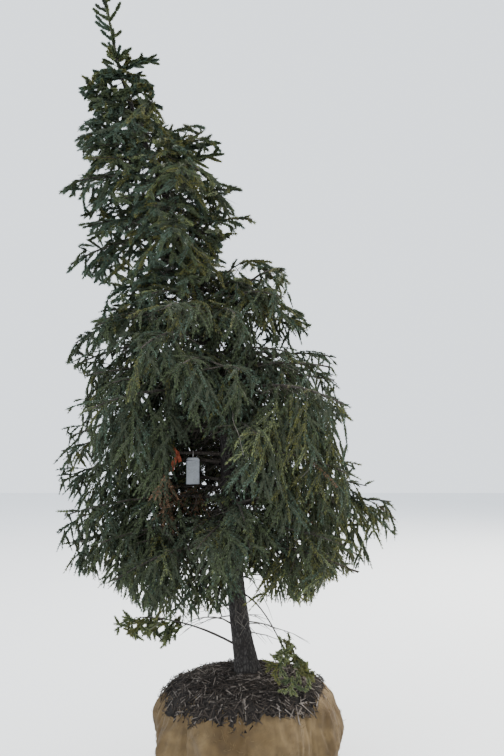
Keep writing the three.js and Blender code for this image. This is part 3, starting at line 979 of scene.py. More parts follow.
# Limbs that stand out of the whorls' order, where the crown bulges. Each row gives the height,
# turn, reach, rise, sag, hang, bare share and fronds.
ODD_ROWS = (
    (3140, 355, 400, 0.5, 0.22, -14, 0.12, 6), (2810, 352, 510, 0.58, 0.4, -22, 0.12, 8),
    (2640, 10, 500, 0.54, 0.38, -26, 0.12, 8), (2170, 350, 530, 1.9, 1.62, -34, 0.12, 12),
    (2140, 318, 470, 1.4, 1.35, -40, 0.12, 11), (2190, 186, 800, 0.04, 0.38, -24, 0.12, 10),
    (2080, 214, 760, 0.22, 0.34, -36, 0.12, 8), (1760, 352, 740, 0.56, 0.44, -30, 0.12, 8),
    (2050, 335, 640, 0.9, 1.0, -48, 0.12, 9), (1850, 20, 700, 0.5, 0.6, -44, 0.12, 8),
    (2330, 268, 380, 0.2, 0.4, -50, 0.1, 7), (2120, 282, 430, 0.2, 0.4, -50, 0.1, 7),
    (1890, 262, 460, 0.2, 0.4, -52, 0.1, 8), (1720, 285, 470, 0.16, 0.36, -52, 0.1, 8),
    (1560, 300, 520, 0.16, 0.36, -52, 0.1, 8), (1180, 290, 480, 0.1, 0.3, -50, 0.1, 8),
    (860, 275, 520, 0.1, 0.34, -46, 0.1, 8), (1560, 140, 560, 0.16, 0.36, -46, 0.1, 8),
    (1380, 165, 520, 0.16, 0.36, -40, 0.1, 8), (1095, 208, 400, 0.02, 0.25, -40, 0.12, 10),
    (1260, 122, 520, 0.16, 0.36, -40, 0.1, 8), (1130, 148, 600, 0.16, 0.3, -36, 0.1, 9),
    (1320, 104, 520, 0.16, 0.3, -36, 0.1, 9), (1440, 133, 640, 0.16, 0.36, -40, 0.1, 10),
    (1640, 112, 560, 0.16, 0.36, -44, 0.1, 9), (1020, 196, 1010, 0.16, 0.24, -46, 0.2, 11),
    (800, 180, 980, 0.22, 0.26, -40, 0.2, 11), (1420, 205, 1020, 0.12, 0.24, -46, 0.2, 11),
    (1900, 176, 860, 0.14, 0.3, -46, 0.12, 10), (1710, 168, 900, 0.14, 0.3, -46, 0.12, 11),
    (1520, 190, 940, 0.14, 0.28, -46, 0.12, 11), (1240, 172, 960, 0.14, 0.26, -46, 0.12, 11),
    (900, 198, 920, 0.1, 0.24, -46, 0.12, 11), (980, 344, 1010, 0.2, 0.16, -24, 0.3, 9),
    (700, 236, 480, 0.06, 0.4, -54, 0.1, 10), (640, 258, 420, 0.02, 0.4, -56, 0.1, 9),
    (3230, 5, 330, 0.52, 0.2, -8, 0.12, 6), (3020, 358, 430, 0.55, 0.25, -12, 0.12, 5),
    (760, 300, 420, 0.05, 0.4, -54, 0.1, 7),
)
ODD_LIMBS = tuple(single(*row) for row in ODD_ROWS)
# Thin branches at the foot of the crown, bare up to the sprays at their ends.
LOW_LIMBS = (
    single(140, 186, 640, 0.62, 0.3, -20, 0.52, 11),
    single(470, 318, 450, 0.1, 1.0, -18, 0.74, 10),
)


def level_way(angle: float) -> Array:
    """The level direction at an angle in radians."""
    return np.array([math.cos(angle), math.sin(angle), 0.0])


class Limb:
    """One limb of a whorl: the line that it follows from the trunk to its foliage's tip."""

    azimuth_jitter = 8.0
    sweep_size = 0.12
    lift_sag = 0.78
    seed_step = 100
    root_per_reach = 0.0135
    tip_share = 0.6
    taper_end = 0.4

    def __init__(self, trunk: Trunk, whorl: Whorl, number: int, index: int) -> None:
        """Works out the limb from its whorl, with the solids' own draws.

        Args:
            trunk: The trunk that it leaves.
            whorl: Its whorl.
            number: Its place in the whorl.
            index: The whorl's place in the tree.
        """
        self.whorl = whorl
        self.number = number
        self.random = SeededSource(self.seed_step * (index + 1) + number)
        spaced = whorl.turn + 360 * number / whorl.limbs
        self.azimuth = math.radians(spaced + self.random.either_way(self.azimuth_jitter))
        self.sweep = self.random.either_way(self.sweep_size)
        to_right = math.cos(self.azimuth)
        to_front = max(0.0, -math.sin(self.azimuth))
        even = (whorl.left * (1 - to_right) + whorl.right * (1 + to_right)) / 2
        self.reach = even * (1 - (1 - whorl.front) * to_front)
        lift = whorl.lift * max(0.0, to_right)
        self.rise = whorl.rise + lift
        self.sag = whorl.sag + self.lift_sag * lift
        self.out = level_way(self.azimuth)
        self.across = np.array([-self.out[1], self.out[0], 0.0])
        self.start = trunk.middle(whorl.height)

    def at(self, s: Array | float) -> Array:
        """The limb's middle at one share of its reach, or at several."""
        s = np.asarray(s, dtype=float)[..., None]
        bow = self.rise * s - self.sag * s * s
        return self.start + self.reach * (self.out * s + self.across * (self.sweep * s * s) + UP * bow)

    def along(self, s: float) -> Array:
        """The limb's direction at a share of its reach."""
        return unit(self.at(s + 0.01) - self.at(s - 0.01))

    def ring(self, s: float, radius: Array | float, angle: Array, shift: Array) -> Array:
        """A line that goes round the limb.

        Args:
            s: Where on the limb, as a share of its reach.
            radius: The line's distance from the limb's middle.
            angle: Its angle at each point, as a column.
            shift: How far along the limb each point is moved, as a column.

        Returns:
            Rows of points.
        """
        along = self.along(s)
        across = unit(np.cross(UP, along))
        upright = np.cross(along, across)
        return self.at(s) + radius * (across * np.cos(angle) + upright * np.sin(angle)) + along * shift

    def frond(self, s: float, fork: float, pitch: float, roll: float, length: float) -> "Frond":
        """A frond that leaves the limb, turned aside by fork, pitched and rolled in degrees."""
        return Frond.placed(self.at(s), heading(self.along(s), fork, pitch), roll, length)

    def radius(self, s: Array | float) -> Array | float:
        """The bare limb's radius at a share of its reach."""
        taper = 1 - (1 - self.tip_share) * np.minimum(1.0, s / self.taper_end)
        return self.root_per_reach * self.reach * taper

    @property
    def node(self) -> str:
        """The name of the solid that holds the limb's foliage."""
        return f"foliage_{self.whorl.name}_{self.number + 1}"


@dataclass(frozen=True)
class Frond:
    """A side twig with all its sprays: its place, its heading and its size."""

    root: Array
    direction: Array
    across: Array
    normal: Array
    length: float
    half_width: float
    droop: float = 0.3
    side_droop: float = 0.16

    @staticmethod
    def placed(
        root: Array, direction: Array, roll: float, length: float, width_share: float = FROND_WIDTH
    ) -> "Frond":
        """Sets a frond on its root, level across and then rolled about itself.

        Args:
            root: Where it starts.
            direction: Where it heads.
            roll: The roll in degrees.
            length: Its length.
            width_share: Half its width, as a share of its length.

        Returns:
            The frond.
        """
        level = RIGHT if abs(direction[2]) > 0.95 else UP
        across = turned_about(unit(np.cross(level, direction)), direction, math.radians(roll))
        normal = np.cross(direction, across)
        return Frond(root, direction, across, normal, length, length * width_share)

    def scaled(self, share: float) -> "Frond":
        """The frond at a share of its size."""
        return replace(self, length=share * self.length, half_width=share * self.half_width)

    def place(self, u: Array, w: Array | float = 0.0, n: Array | float = 0.0) -> Array:
        """Takes places on the flat frond to where they are on the bent one."""
        bend = self.droop * u * u / self.length + self.side_droop * np.abs(w)
        flat = self.root + np.outer(u, self.direction) + np.outer(w, self.across)
        return flat + np.outer(n - bend, self.normal)

    @property
    def tip(self) -> Array:
        """The frond's tip."""
        return self.place(np.array([self.length]))[0]


class SolidTips:
    """Knows which fronds the solids kept, and whether they kept them whole or shortened."""

    shorter = 0.72
    tolerance = 2.5

    def __init__(self, nodes: dict[str, bpy.types.Object]) -> None:
        """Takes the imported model's objects by name."""
        self.corners: dict[str, Array] = {}
        for name, node in nodes.items():
            if name.startswith("foliage_") or name == "leader":
                co = np.zeros(len(node.data.vertices) * 3, np.float32)
                node.data.vertices.foreach_get("co", co)
                self.corners[name] = co.reshape(-1, 3).astype(float) / MILLIMETRE

    def kept(self, node: str, frond: Frond) -> Frond | None:
        """Finds a frond in its solid.

        Args:
            node: The solid's name.
            frond: The frond at its full size.

        Returns:
            The frond as the solid has it, or None where the solid left it out.
        """
        for tried in (frond, frond.scaled(self.shorter)):
            if np.linalg.norm(self.corners[node] - tried.tip, axis=1).min() < self.tolerance:
                return tried
        return None


@dataclass(frozen=True)
class Habit:
    """How the finer twigs and shoots of a frond stand.

    The pulls bend twigs and shoots down where they are negative and up where positive.
    """

    twig_step: float
    fork: float
    shoot_step: float
    shoot_low: float
    shoot_high: float
    twig_pull: float
    shoot_pull: float
    needle: float
    lean: float
    fullness: float
    free: bool = False
    core: float = 9.0


CURTAIN = Habit(54.0, 44.0, 47.0, 80.0, 165.0, -0.55, -1.1, 18.5, 37.0, 1.0)
ARCH = Habit(56.0, 46.0, 66.0, 78.0, 135.0, -0.08, -0.25, 21.0, 45.0, 2.1, core=11.0)
CREST = Habit(76.0, 46.0, 95.0, 80.0, 125.0, 0.08, 0.05, 21.0, 42.0, 6.5, core=11.5)
FINGERS = Habit(46.0, 46.0, 400.0, 90.0, 130.0, 0.12, 0.1, 21.0, 42.0, 8.0, free=True, core=11.5)
SPRAY = Habit(28.0, 48.0, 26.0, 45.0, 80.0, 0.0, -0.1, 19.0, 44.0, 2.6, free=True)
LEADER = Habit(40.0, 48.0, 40.0, 55.0, 95.0, 0.15, 0.3, 22.0, 40.0, 10.0, free=True, core=10.5)
DEAD = Habit(40.0, 48.0, 40.0, 90.0, 250.0, 0.0, -0.5, 0.0, 45.0, 0.0)


# The columns in which a shoot's traits are kept.
Trait = IntEnum("Trait", "NEEDLE LEAN WOOD ARCH FULLNESS FREE", start=0)


@dataclass
class Growth:
    """Everything that the crown's fronds have grown, kept as rows for the meshes."""

    # Roots, tips, spray numbers, traits and places of each lot of shoots.
    shoots: list[tuple[Array, ...]] = field(default_factory=list)
    # The line, the radii and the freedom of each frond's axis.
    axes: list[tuple[Array, Array, bool]] = field(default_factory=list)
    spray_count: int = 0

    def add(
        self,
        roots: Array,
        tips: Array,
        sprays: Array,
        habit: Habit,
        wood: float,
        arch: float = 0.0,
        share: Array | float = 0.0,
    ) -> None:
        """Adds shoots.

        Args:
            roots: Where they start.
            tips: Where they end.
            sprays: The number of the spray that each belongs to.
            habit: How their needles are.
            wood: The radius of their wood at the root.
            arch: How high they arch in the middle, as a share of their length.
            share: How far along the next axis they stand, 0 where they leave a limb.
        """
        place = np.full((len(roots), 2), float(len(self.axes)))
        place[:, 1] = share
        traits = [habit.needle, habit.lean, wood, arch, habit.fullness, float(habit.free)]
        self.shoots.append((roots, tips, sprays, np.tile(traits, (len(roots), 1)), place))

    def add_chain(self, line: Array, habit: Habit, wood: float, share: Array | float = 0.0) -> None:
        """Adds one spray of shoots, end to end along a line."""
        spray = self.new_sprays(1).repeat(len(line) - 1)
        self.add(line[:-1], line[1:], spray, habit, wood, share=share)

    def new_sprays(self, count: int) -> Array:
        """Numbers for that many new sprays."""
        self.spray_count += count
        return np.arange(self.spray_count - count, self.spray_count)


class FineTwigs:
    """Grows the twigs and shoots of one frond, on its flat outline and then bent with it."""

    limb_end = 0.96

    def __init__(self, growth: Growth, seed: int) -> None:
        """Takes what to add to, and a seed."""
        self.growth = growth
        self.random = np.random.default_rng(seed)

    def pulled(self, roots: Array, tips: Array, pull: float) -> Array:
        """Bends shoots up or down at their own length.

        Args:
            roots: Where they start.
            tips: Where they end.
            pull: How strongly, down where it is negative.

        Returns:
            The new tips.
        """
        line = tips - roots
        length = np.linalg.norm(line, axis=1, keepdims=True)
        share = pull * self.random.uniform(0.6, 1.3, (len(roots), 1))
        return roots + unit(line / np.maximum(length, 1e-6) + UP * share) * length

    def grow(self, frond: Frond, habit: Habit) -> None:
        """Grows a frond: its axis, the twigs on its two sides and the shoots on each.

        Args:
            frond: The frond.
            habit: How its finer parts stand.
        """
        random, length = self.random, frond.length
        count = max(3, int(0.84 * length / habit.twig_step))
        u = length * (0.12 + 0.8 * (np.arange(count) + random.uniform(0.2, 0.8, count)) / count)
        side = np.where(np.arange(count) % 2, 1.0, -1.0)
        fork = np.radians(habit.fork + random.normal(0, 6, count))
        long = 1.12 * frond.half_width * np.sin(math.pi * (0.25 + 0.62 * u / length))
        long = np.minimum(long * random.uniform(0.86, 1.1, count), (1.01 * length - u) / np.cos(fork))
        long = np.maximum(long, 26.0)
        rise = random.normal(0, 0.1, count) * long
        roots = frond.place(u)
        tips = frond.place(u + long * np.cos(fork), long * (side * np.sin(fork)), rise)
        tips = self.pulled(roots, tips, habit.twig_pull)
        sprays = self.growth.new_sprays(count)
        share = u / length
        self.growth.add(roots, tips, sprays, habit, 0.85 * habit.core, -0.05 * habit.twig_pull, share)
        self._shoots(roots, tips, sprays, share, frond, habit)
        self._axis(frond, habit)

    def _shoots(
        self, roots: Array, tips: Array, sprays: Array, share: Array, frond: Frond, habit: Habit
    ) -> None:
        """Grows the shoots on both sides of each twig.

        Args:
            roots: Where the twigs start.
            tips: Where they end.
            sprays: Their spray numbers.
            share: How far along the frond each twig stands.
            frond: The frond that they are part of.
            habit: How they stand.
        """
        random = self.random
        line = tips - roots
        long = np.linalg.norm(line, axis=1)
        counts = np.maximum(0, ((long - 18) / habit.shoot_step).astype(int))
        twig = np.repeat(np.arange(len(long)), counts)
        if len(twig) == 0:
            return
        step = np.arange(len(twig)) - np.repeat(np.cumsum(counts) - counts, counts)
        t = 0.16 + 0.74 * (step + random.uniform(0.2, 0.8, len(twig))) / counts[twig]
        along = unit(line)[twig]
        aside = unit(np.cross(np.broadcast_to(frond.normal, along.shape), along))
        side = np.where((step + twig) % 2, 1.0, -1.0)[:, None]
        fork = np.radians(random.normal(43, 6, len(twig)))[:, None]
        lift = random.normal(0.08, 0.16, (len(twig), 1))
        head = unit(along * np.cos(fork) + side * aside * np.sin(fork) + frond.normal * lift)
        longest = 0.42 * habit.shoot_high + 0.85 * ((1 - t) * long[twig])
        size = np.minimum(random.uniform(habit.shoot_low, habit.shoot_high, len(twig)), longest)
        start = roots[twig] + line[twig] * t[:, None]
        end = self.pulled(start, start + head * size[:, None], habit.shoot_pull)
        arch = -0.07 * habit.shoot_pull
        self.growth.add(start, end, sprays[twig], habit, habit.core, arch, share[twig])

    def dress(self, limb: Limb, habit: Habit, begin: float, end: float) -> None:
        """Sets single shoots on a limb's sides and top, and needles on its outer wood.

        Args:
            limb: The limb.
            habit: How they stand.
            begin: Where on the limb they begin.
            end: Where the limb's wood ends.
        """
        random = self.random
        s = np.arange(begin, self.limb_end, 44 / limb.reach)
        s = s + random.uniform(0, 20, len(s)) / limb.reach
        roots = limb.at(s)
        along = unit(limb.at(s + 0.02) - roots)
        aside = unit(np.cross(UP, along)) * np.where(np.arange(len(s)) % 2, 1, -1)[:, None]
        fork = np.radians(random.uniform(28, 66, len(s)))[:, None]
        lift = random.uniform(-0.1, 0.75, (len(s), 1))
        head = unit(along * np.cos(fork) + aside * np.sin(fork) + UP * lift)
        size = random.uniform(habit.shoot_low, habit.shoot_high, (len(s), 1)) * (1.05 - 0.3 * s[:, None])
        tips = self.pulled(roots, roots + head * size, 0.5 * habit.shoot_pull)
        near = s <= end
        sprays = self.growth.new_sprays(len(s))[near]
        self.growth.add(roots[near], tips[near], sprays, habit, habit.core, 0.05)
        s = np.linspace(0.45, 0.9, 7)
        self.growth.add_chain(limb.at(s[s <= max(end, 0.53)]), habit, 0.8 * habit.core)

    def dead_twigs(self, limb: Limb, count: int) -> None:
        """Sets leafless twigs on the shaded inner part of a limb.

        Args:
            limb: The limb.
            count: How many.
        """
        random = self.random
        roots = limb.at(random.uniform(0.06, 0.62, count))
        turn = random.uniform(0, TURN, count)
        head = unit(polar(1, turn, random.uniform(-0.5, 0.5, count)))
        size = random.uniform(DEAD.shoot_low, DEAD.shoot_high, (count, 1))
        tips = self.pulled(roots, roots + head * size, DEAD.shoot_pull)
        self.growth.add(roots, tips, self.growth.new_sprays(count), DEAD, 2.6)

    def _axis(self, frond: Frond, habit: Habit) -> None:
        """Grows the frond's own axis: wood all along, needles on its outer part.

        Args:
            frond: The frond.
            habit: How its needles are.
        """
        share = np.linspace(0, 1, 31)
        line = frond.place(share * frond.length)
        self.growth.add_chain(line[6::6], habit, 6.0, share[6:-1:6])
        radii = np.interp(share, [0, 1], [3.0 + 0.002 * frond.length, 0.7])
        self.growth.axes.append((line, radii, habit.free))


@dataclass(frozen=True)
class Outline:
    """How far the crown reaches to each side at heights above the ball, as seen from the front."""

    eye: Place = (24.0, -4850.0, 1334.0)
    left: Table = (
        (400, -900), (600, -1120), (1450, -1160), (1590, -1090), (1640, -1000), (1760, -975),
        (1830, -1095), (2000, -1030), (2100, -930), (2190, -860), (2310, -830), (2350, -960),
        (2400, -1110), (2500, -1050), (2660, -1010), (2770, -1040), (2850, -990), (2910, -1175),
        (2960, -1100), (3010, -1050), (3110, -990), (3190, -1055), (3300, -1050), (3400, -990),
        (3470, -990), (3600, -1050), (3700, -990), (3760, -900), (3830, -880), (3900, -1000),
        (4320, -1200),
    )
    right: Table = (
        (400, 700), (800, 900), (1250, 800), (1370, 600), (1400, 500), (1460, 500), (1495, 625),
        (1600, 580), (1670, 535), (1800, 495), (1880, 525), (1935, 500), (1960, 330), (2060, 360),
        (2150, 350), (2190, 240), (2220, 170), (2260, 230), (2300, 270), (2340, 230), (2450, 215),
        (2485, 60), (2505, -175), (2600, -165), (2665, -60), (2715, 30), (2770, -30), (2830, -60),
        (2850, -80), (2880, -190), (2905, -110), (2925, -50), (2955, -90), (3010, -215),
        (3050, -300), (3120, -290), (3150, -190), (3230, -190), (3250, -250), (3300, -240),
        (3345, -300), (3350, -500), (3375, -600), (3420, -580), (3480, -620), (3540, -600),
        (3630, -650), (3700, -680), (3790, -700), (3840, -790), (4320, -790),
    )
    low: Table = (
        (-1200, 640), (-900, 540), (-700, 430), (-590, 340), (-430, 290), (-250, 300), (-120, 350),
        (0, 390), (100, 420), (370, 400), (460, 540), (780, 650), (900, 760),
    )
    softness: float = 36.0

    def excess(self, points: Array) -> Array:
        """How far points lie outside the outline.

        Args:
            points: Rows of points.

        Returns:
            The distance for each, 0 inside.
        """
        eye = np.array(self.eye)
        flat = points - [0, 0, Trunk.base]
        seen = eye + (flat - eye) * (-eye[1] / (flat[:, 1] - eye[1]))[:, None]
        x, h = seen[:, 0], seen[:, 2]
        edges = ((self.left, h), (self.right, h), (self.low, x))
        left, right, low = (np.interp(at, *np.array(table).T) for table, at in edges)
        return np.maximum.reduce([0 * x, left - x, x - right, low - h])


@dataclass(frozen=True)
class Window:
    """The opening in front of the tag, where the trunk and bare limbs show."""

    left: float = -425.0
    right: float = -105.0
    low: float = 1775.0
    high: float = 2040.0
    deep: float = -30.0
    keep: float = 0.04

    def holds(self, points: Array) -> Array:
        """Which points lie in the opening or between it and the viewer."""
        x, y, z = points.T
        x = x - 24 * ((y + self.deep) / 4850)
        inside = (x > self.left) & (x < self.right) & (z > self.low) & (z < self.high)
        return inside & (y < self.deep)


class Crown:
    """The boughs, twigs, shoots and needles."""

    stem_tip_radius = 5.0
    wood_tip_radius = 3.6
    outer_start = 0.04
    inner_start = 0.24
    stem_end = 0.8
    inner_end = 0.72
    gap = 0.4
    end_space = 0.05
    fork = 50.0
    reach_share = 0.58
    shortening = 0.45
    roll = 34.0
    extra_fronds = 5
    dead_each = 20
    crown_top = 3690.0
    leader_foot = 3620.0
    # Height, heading and length of the leader's shoots that show on its left, and of the tuft below them.
    left_shoots = ((3846, 160, 112), (3905, 205, 90), (3968, 176, 120), (4040, 190, 118), (4096, 168, 96))
    tuft = (
        (3768, 165, 88), (3774, 195, 80), (3786, 140, 84), (3792, 215, 70), (3766, 12, 84),
        (3778, 335, 78), (3788, 40, 86), (3796, 300, 72), (3770, 90, 80), (3782, 250, 76),
    )
    crest_breadth = 104.0
    # Height, heading, rise and length of the branches that stand out of the crest one by one.
    crest_branches = (
        (3690, 8, 40, 245), (3684, 332, 30, 200), (3650, 25, 16, 185), (3570, 345, 19, 155),
        (3520, 5, 2, 205), (3440, 350, -10, 200), (3700, 172, 2, 175), (3665, 185, -12, 250),
        (3630, 160, -14, 262), (3560, 190, -15, 245), (3500, 170, -16, 262), (3400, 182, -17, 370),
        (3330, 170, -19, 360), (3240, 186, -17, 420), (3640, 80, -5, 200), (3560, 110, -8, 240),
        (3480, 75, -10, 280), (3400, 100, -12, 320), (3650, 260, -5, 180), (3560, 285, -8, 210),
        (3470, 250, -10, 260), (3400, 290, -12, 290), (3420, 30, -8, 240), (3330, 320, -12, 280),
        (3100, 8, 37, 440), (3060, 352, 20, 430),
    )

    def __init__(self, trunk: Trunk, tips: SolidTips, reach: Array) -> None:
        """Works out every limb of the crown.

        Args:
            trunk: The trunk.
            tips: What the solids kept.
            reach: The lowest and highest corner that shoots may have.
        """
        self.trunk = trunk
        self.reach = reach
        self.tips = tips
        self.outline = Outline()
        self.window = Window()
        self.growth = Growth()
        self.limbs = [
            Limb(trunk, whorl, number, index)
            for index, whorl in enumerate(WHORLS)
            for number in range(whorl.limbs)
        ]
        along = np.linspace(0.1, 1, 19)
        lesser = self._lesser_limbs()
        self.lesser = [limb for limb in lesser if self.window.holds(limb.at(along)).sum() < 2]
        self.low_limbs: list[Limb] = []

    def _lesser_limbs(self) -> Iterator[Limb]:
        """Works out the shorter limbs that stand between the whorls and hide the trunk."""
        tops = [whorl.height for whorl in WHORLS[1:]] + [self.crown_top]
        for index, (whorl, top) in enumerate(zip(WHORLS, tops)):
            for lot, infill in enumerate(INFILLS if whorl.bare else INFILLS[:-1]):
                if whorl.name == "crest" and lot != 1:
                    continue
                for number in range(0, infill.limbs, 2 if whorl.name in ("crest", "high") else 1):
                    level = infill.level(whorl, top, number)
                    yield Limb(self.trunk, level, number, index + 20 + 20 * lot)
        for index, whorl in enumerate(ODD_LIMBS):
            yield Limb(self.trunk, whorl, 0, index + 90)

    def habit_of(self, whorl: Whorl) -> Habit:
        """How the fronds of a whorl stand: in curtains below, arched above."""
        lower = ARCH if whorl.name == "odd" and whorl.height > 2000 else CURTAIN
        return lower if whorl.bare else CREST if whorl.name == "crest" else ARCH

    def grow_limb(self, limb: Limb, seed: int) -> None:
        """Grows a limb's fronds with the solids' draws, and finer ones between them.

        Args:
            limb: The limb.
            seed: The seed of its finer parts.
        """
        whorl, random, reach = limb.whorl, limb.random, limb.reach
        habit = self.habit_of(whorl)
        twigs = FineTwigs(self.growth, seed)
        first, end = self.inner_start, self.inner_end
        if whorl.bare:
            first, end = whorl.bare + self.gap / reach + self.outer_start, self.stem_end
        for i in range(whorl.fronds):
            share = i / (whorl.fronds - 1)
            s = first + (end - self.end_space - first) * share
            side = 1 if (i + limb.number) % 2 else -1
            fork = side * self.fork * random.between(0.85, 1.15)
            pitch = whorl.hang * random.between(0.6, 1.15)
            length = reach * self.reach_share * (1 - self.shortening * share)
            length *= random.between(0.88, 1.12)
            roll = random.either_way(self.roll)
            self._grow_kept(limb.node, limb.frond(s, fork, pitch, roll, length), twigs, habit)
        onward = limb.at(1.0) - limb.at(end)
        tip = limb.at(end) - limb.along(end) * self.stem_tip_radius
        roll = random.either_way(self.roll)
        planned = Frond.placed(tip, unit(onward), roll, float(np.linalg.norm(onward)))
        self._grow_kept(limb.node, planned, twigs, habit)
        under = first + (end - first) * 0.55
        fork = random.either_way(30)
        roll = random.either_way(self.roll)
        planned = limb.frond(under, fork, whorl.hang * 1.2 - 22, roll, 110 + 0.16 * reach)
        self._grow_kept(limb.node, planned, twigs, habit)
        self._fill(limb, twigs, habit, first, 2 if habit is CREST else self.extra_fronds)

    def _grow_kept(self, node: str, planned: Frond, twigs: FineTwigs, habit: Habit) -> None:
        """Grows a frond as its solid has it, and a small one where the solid left it out."""
        twigs.grow(self.tips.kept(node, planned) or planned.scaled(0.6), habit)

    def _fill(self, limb: Limb, twigs: FineTwigs, habit: Habit, first: float, count: int) -> None:
        """Grows fronds along a limb that the solids don't have, its single shoots and dead twigs.

        Args:
            limb: The limb.
            twigs: What grows their finer parts.
            habit: How they stand.
            first: Where the first frond of the solids stands, or would.
            count: How many fronds to grow.
        """
        random = twigs.random
        inner = first - 0.1
        for i in range(count):
            share = (i + random.uniform(0.3, 0.7)) / count
            fork = random.uniform(-80, 80)
            pitch = limb.whorl.hang * random.uniform(-0.4, 1.35)
            length = (90 + 0.42 * limb.reach) * (1 - 0.5 * share) * random.uniform(0.7, 0.95)
            roll = random.uniform(-self.roll, self.roll)
            twigs.grow(limb.frond(inner + (0.94 - inner) * share, fork, pitch, roll, length), habit)
        twigs.dress(limb, habit, inner, self.wood_end(limb))
        twigs.dead_twigs(limb, self.dead_each)

    def grow_leader(self) -> None:
        """Grows the leader's shoots with the solids' draws."""
        random = SeededSource(7)
        twigs = FineTwigs(self.growth, 907)
        begin, stop = self.leader_foot + self.gap, self.trunk.stem_end
        for i in range(5):
            root = self.trunk.middle(begin + 35 + i * 16)
            way = heading(RIGHT, 20 + i * GOLDEN_DEGREES, random.between(8, 32))
            length = random.between(190, 235)
            roll = random.either_way(self.roll)
            self._grow_kept("leader", Frond.placed(root, way, roll, length), twigs, CREST)
        height, i = begin + 170, 0
        while height < stop:
            pitch = random.between(19, 43)
            length = random.between(98, 134)
            # The solids roll each shoot here, which a round one doesn't show.
            random.either_way(self.roll)
            self._leader_shoot(height, i * GOLDEN_DEGREES, pitch, length)
            height += random.between(37, 62)
            i += 1
        for height, turn, length in self.left_shoots:
            self._leader_shoot(height, turn, 24, length)
        crown = self.trunk.middle(stop)
        upward = self.trunk.middle(self.trunk.tip) - crown
        self._curve(crown, unit(upward), float(np.linalg.norm(upward)))
        stem = self.trunk.middle(np.arange(begin - 260, stop, 60.0))
        self.growth.add_chain(stem, LEADER, 7.0)

    def _leader_shoot(self, height: float, turn: float, pitch: float, length: float) -> None:
        """Grows one single shoot out of the leader, turned and pitched in degrees."""
        self._curve(self.trunk.middle(height), heading(RIGHT, turn, pitch), length)

    def _curve(self, root: Array, way: Array, length: float) -> None:
        """Grows one single shoot that curves upward."""
        knee = root + way * length * 0.55
        tip = knee + unit(way + 0.35 * UP) * length * 0.43
        self.growth.add_chain(np.stack([root, knee, tip]), LEADER, LEADER.core)

    def grow(self) -> None:
        """Grows the whole crown."""
        for index, limb in enumerate(self.limbs):
            self.grow_limb(limb, 1000 + index)
        for index, limb in enumerate(self.lesser):
            twigs = FineTwigs(self.growth, 2000 + index)
            self._fill(limb, twigs, self.habit_of(limb.whorl), 0.28, limb.whorl.fronds)
        self.grow_leader()
        self.grow_crest()
        self.grow_low_sprays()

    def grow_crest(self) -> None:
        """Grows the branches that stand out of the crest, each with its own few thick shoots."""
        twigs = FineTwigs(self.growth, 4000)
        for height, turn, rise, length in self.crest_branches:
            way = heading(RIGHT, turn, rise)
            roll = twigs.random.uniform(-self.roll, self.roll)
            broad = min(FROND_WIDTH, self.crest_breadth / length)
            twigs.grow(Frond.placed(self.trunk.middle(height), way, roll, length, broad), FINGERS)
        for height, turn, length in self.tuft:
            self._leader_shoot(height, turn, 30, length)

    def grow_low_sprays(self) -> None:
        """Grows the two thin low branches that carry living sprays on their outer parts."""
        for index, whorl in enumerate(LOW_LIMBS):
            limb = Limb(self.trunk, whorl, 0, index + 130)
            twigs = FineTwigs(self.growth, 3000 + index)
            for i in range(whorl.fronds):
                s = whorl.bare + (0.98 - whorl.bare) * i / (whorl.fronds - 1)
                fork = twigs.random.uniform(-85, 85)
                roll = twigs.random.uniform(-60, 60)
                twigs.grow(limb.frond(s, fork, whorl.hang, roll, 215 - 80 * s), SPRAY)
            self.low_limbs.append(limb)

    def wood_end(self, limb: Limb) -> float:
        """Where a limb's wood ends: near its tip, or where it leaves the crown's outline."""
        s = np.linspace(0.02, FineTwigs.limb_end, 34)
        past = (self.outline.excess(limb.at(s)) > WOOD_SLACK) & (limb not in self.low_limbs)
        return max(float(s[past.argmax() - 1]), 0.3) if past.any() else FineTwigs.limb_end

    def bough_surface(self) -> Surface:
        """All limbs from inside the trunk to their tips, rough and a little crooked."""
        parts = []
        for index, limb in enumerate(self.limbs + self.lesser + self.low_limbs):
            full = max(limb.whorl.bare, 0.3)
            end = self.stem_end if limb.whorl.bare else self.inner_end
            rings, sides = (34, 9) if index < len(self.limbs) else (12, 5)
            s = np.linspace(0.02, self.wood_end(limb), rings)
            root = limb.radius(0)
            marks = [root * 1.35, root, limb.radius(full), self.stem_tip_radius, self.wood_tip_radius]
            radii = np.interp(s, [0, 0.05, full, end, FineTwigs.limb_end], marks)
            line = limb.at(s)
            surface = Surface.tube(line, radii, sides)
            shift = value_noise(surface.points / 11, 31 + index) - 0.5
            centre = np.concatenate([np.repeat(line, sides, axis=0), line[:1], line[-1:]])
            scale = np.concatenate([np.repeat(radii, sides), [0, 0]])
            surface.points += unit(surface.points - centre) * (shift * scale * 0.45)[:, None]
            parts.append(surface)
        return Surface.joined(parts)

    def build(self) -> None:
        """Makes the crown's pieces."""
        stout = [limb for limb in self.limbs if limb.whorl.bare]
        boughs = tuple(f"bough_{limb.whorl.name}_{limb.number + 1}" for limb in stout)
        add_piece("boughs", self.bough_surface(), BOUGH_BARK, boughs)
        low = tuple(limb.node for limb in stout)
        high = tuple(limb.node for limb in self.limbs if not limb.whorl.bare) + ("leader",)
        Foliage(self).build(low, high)


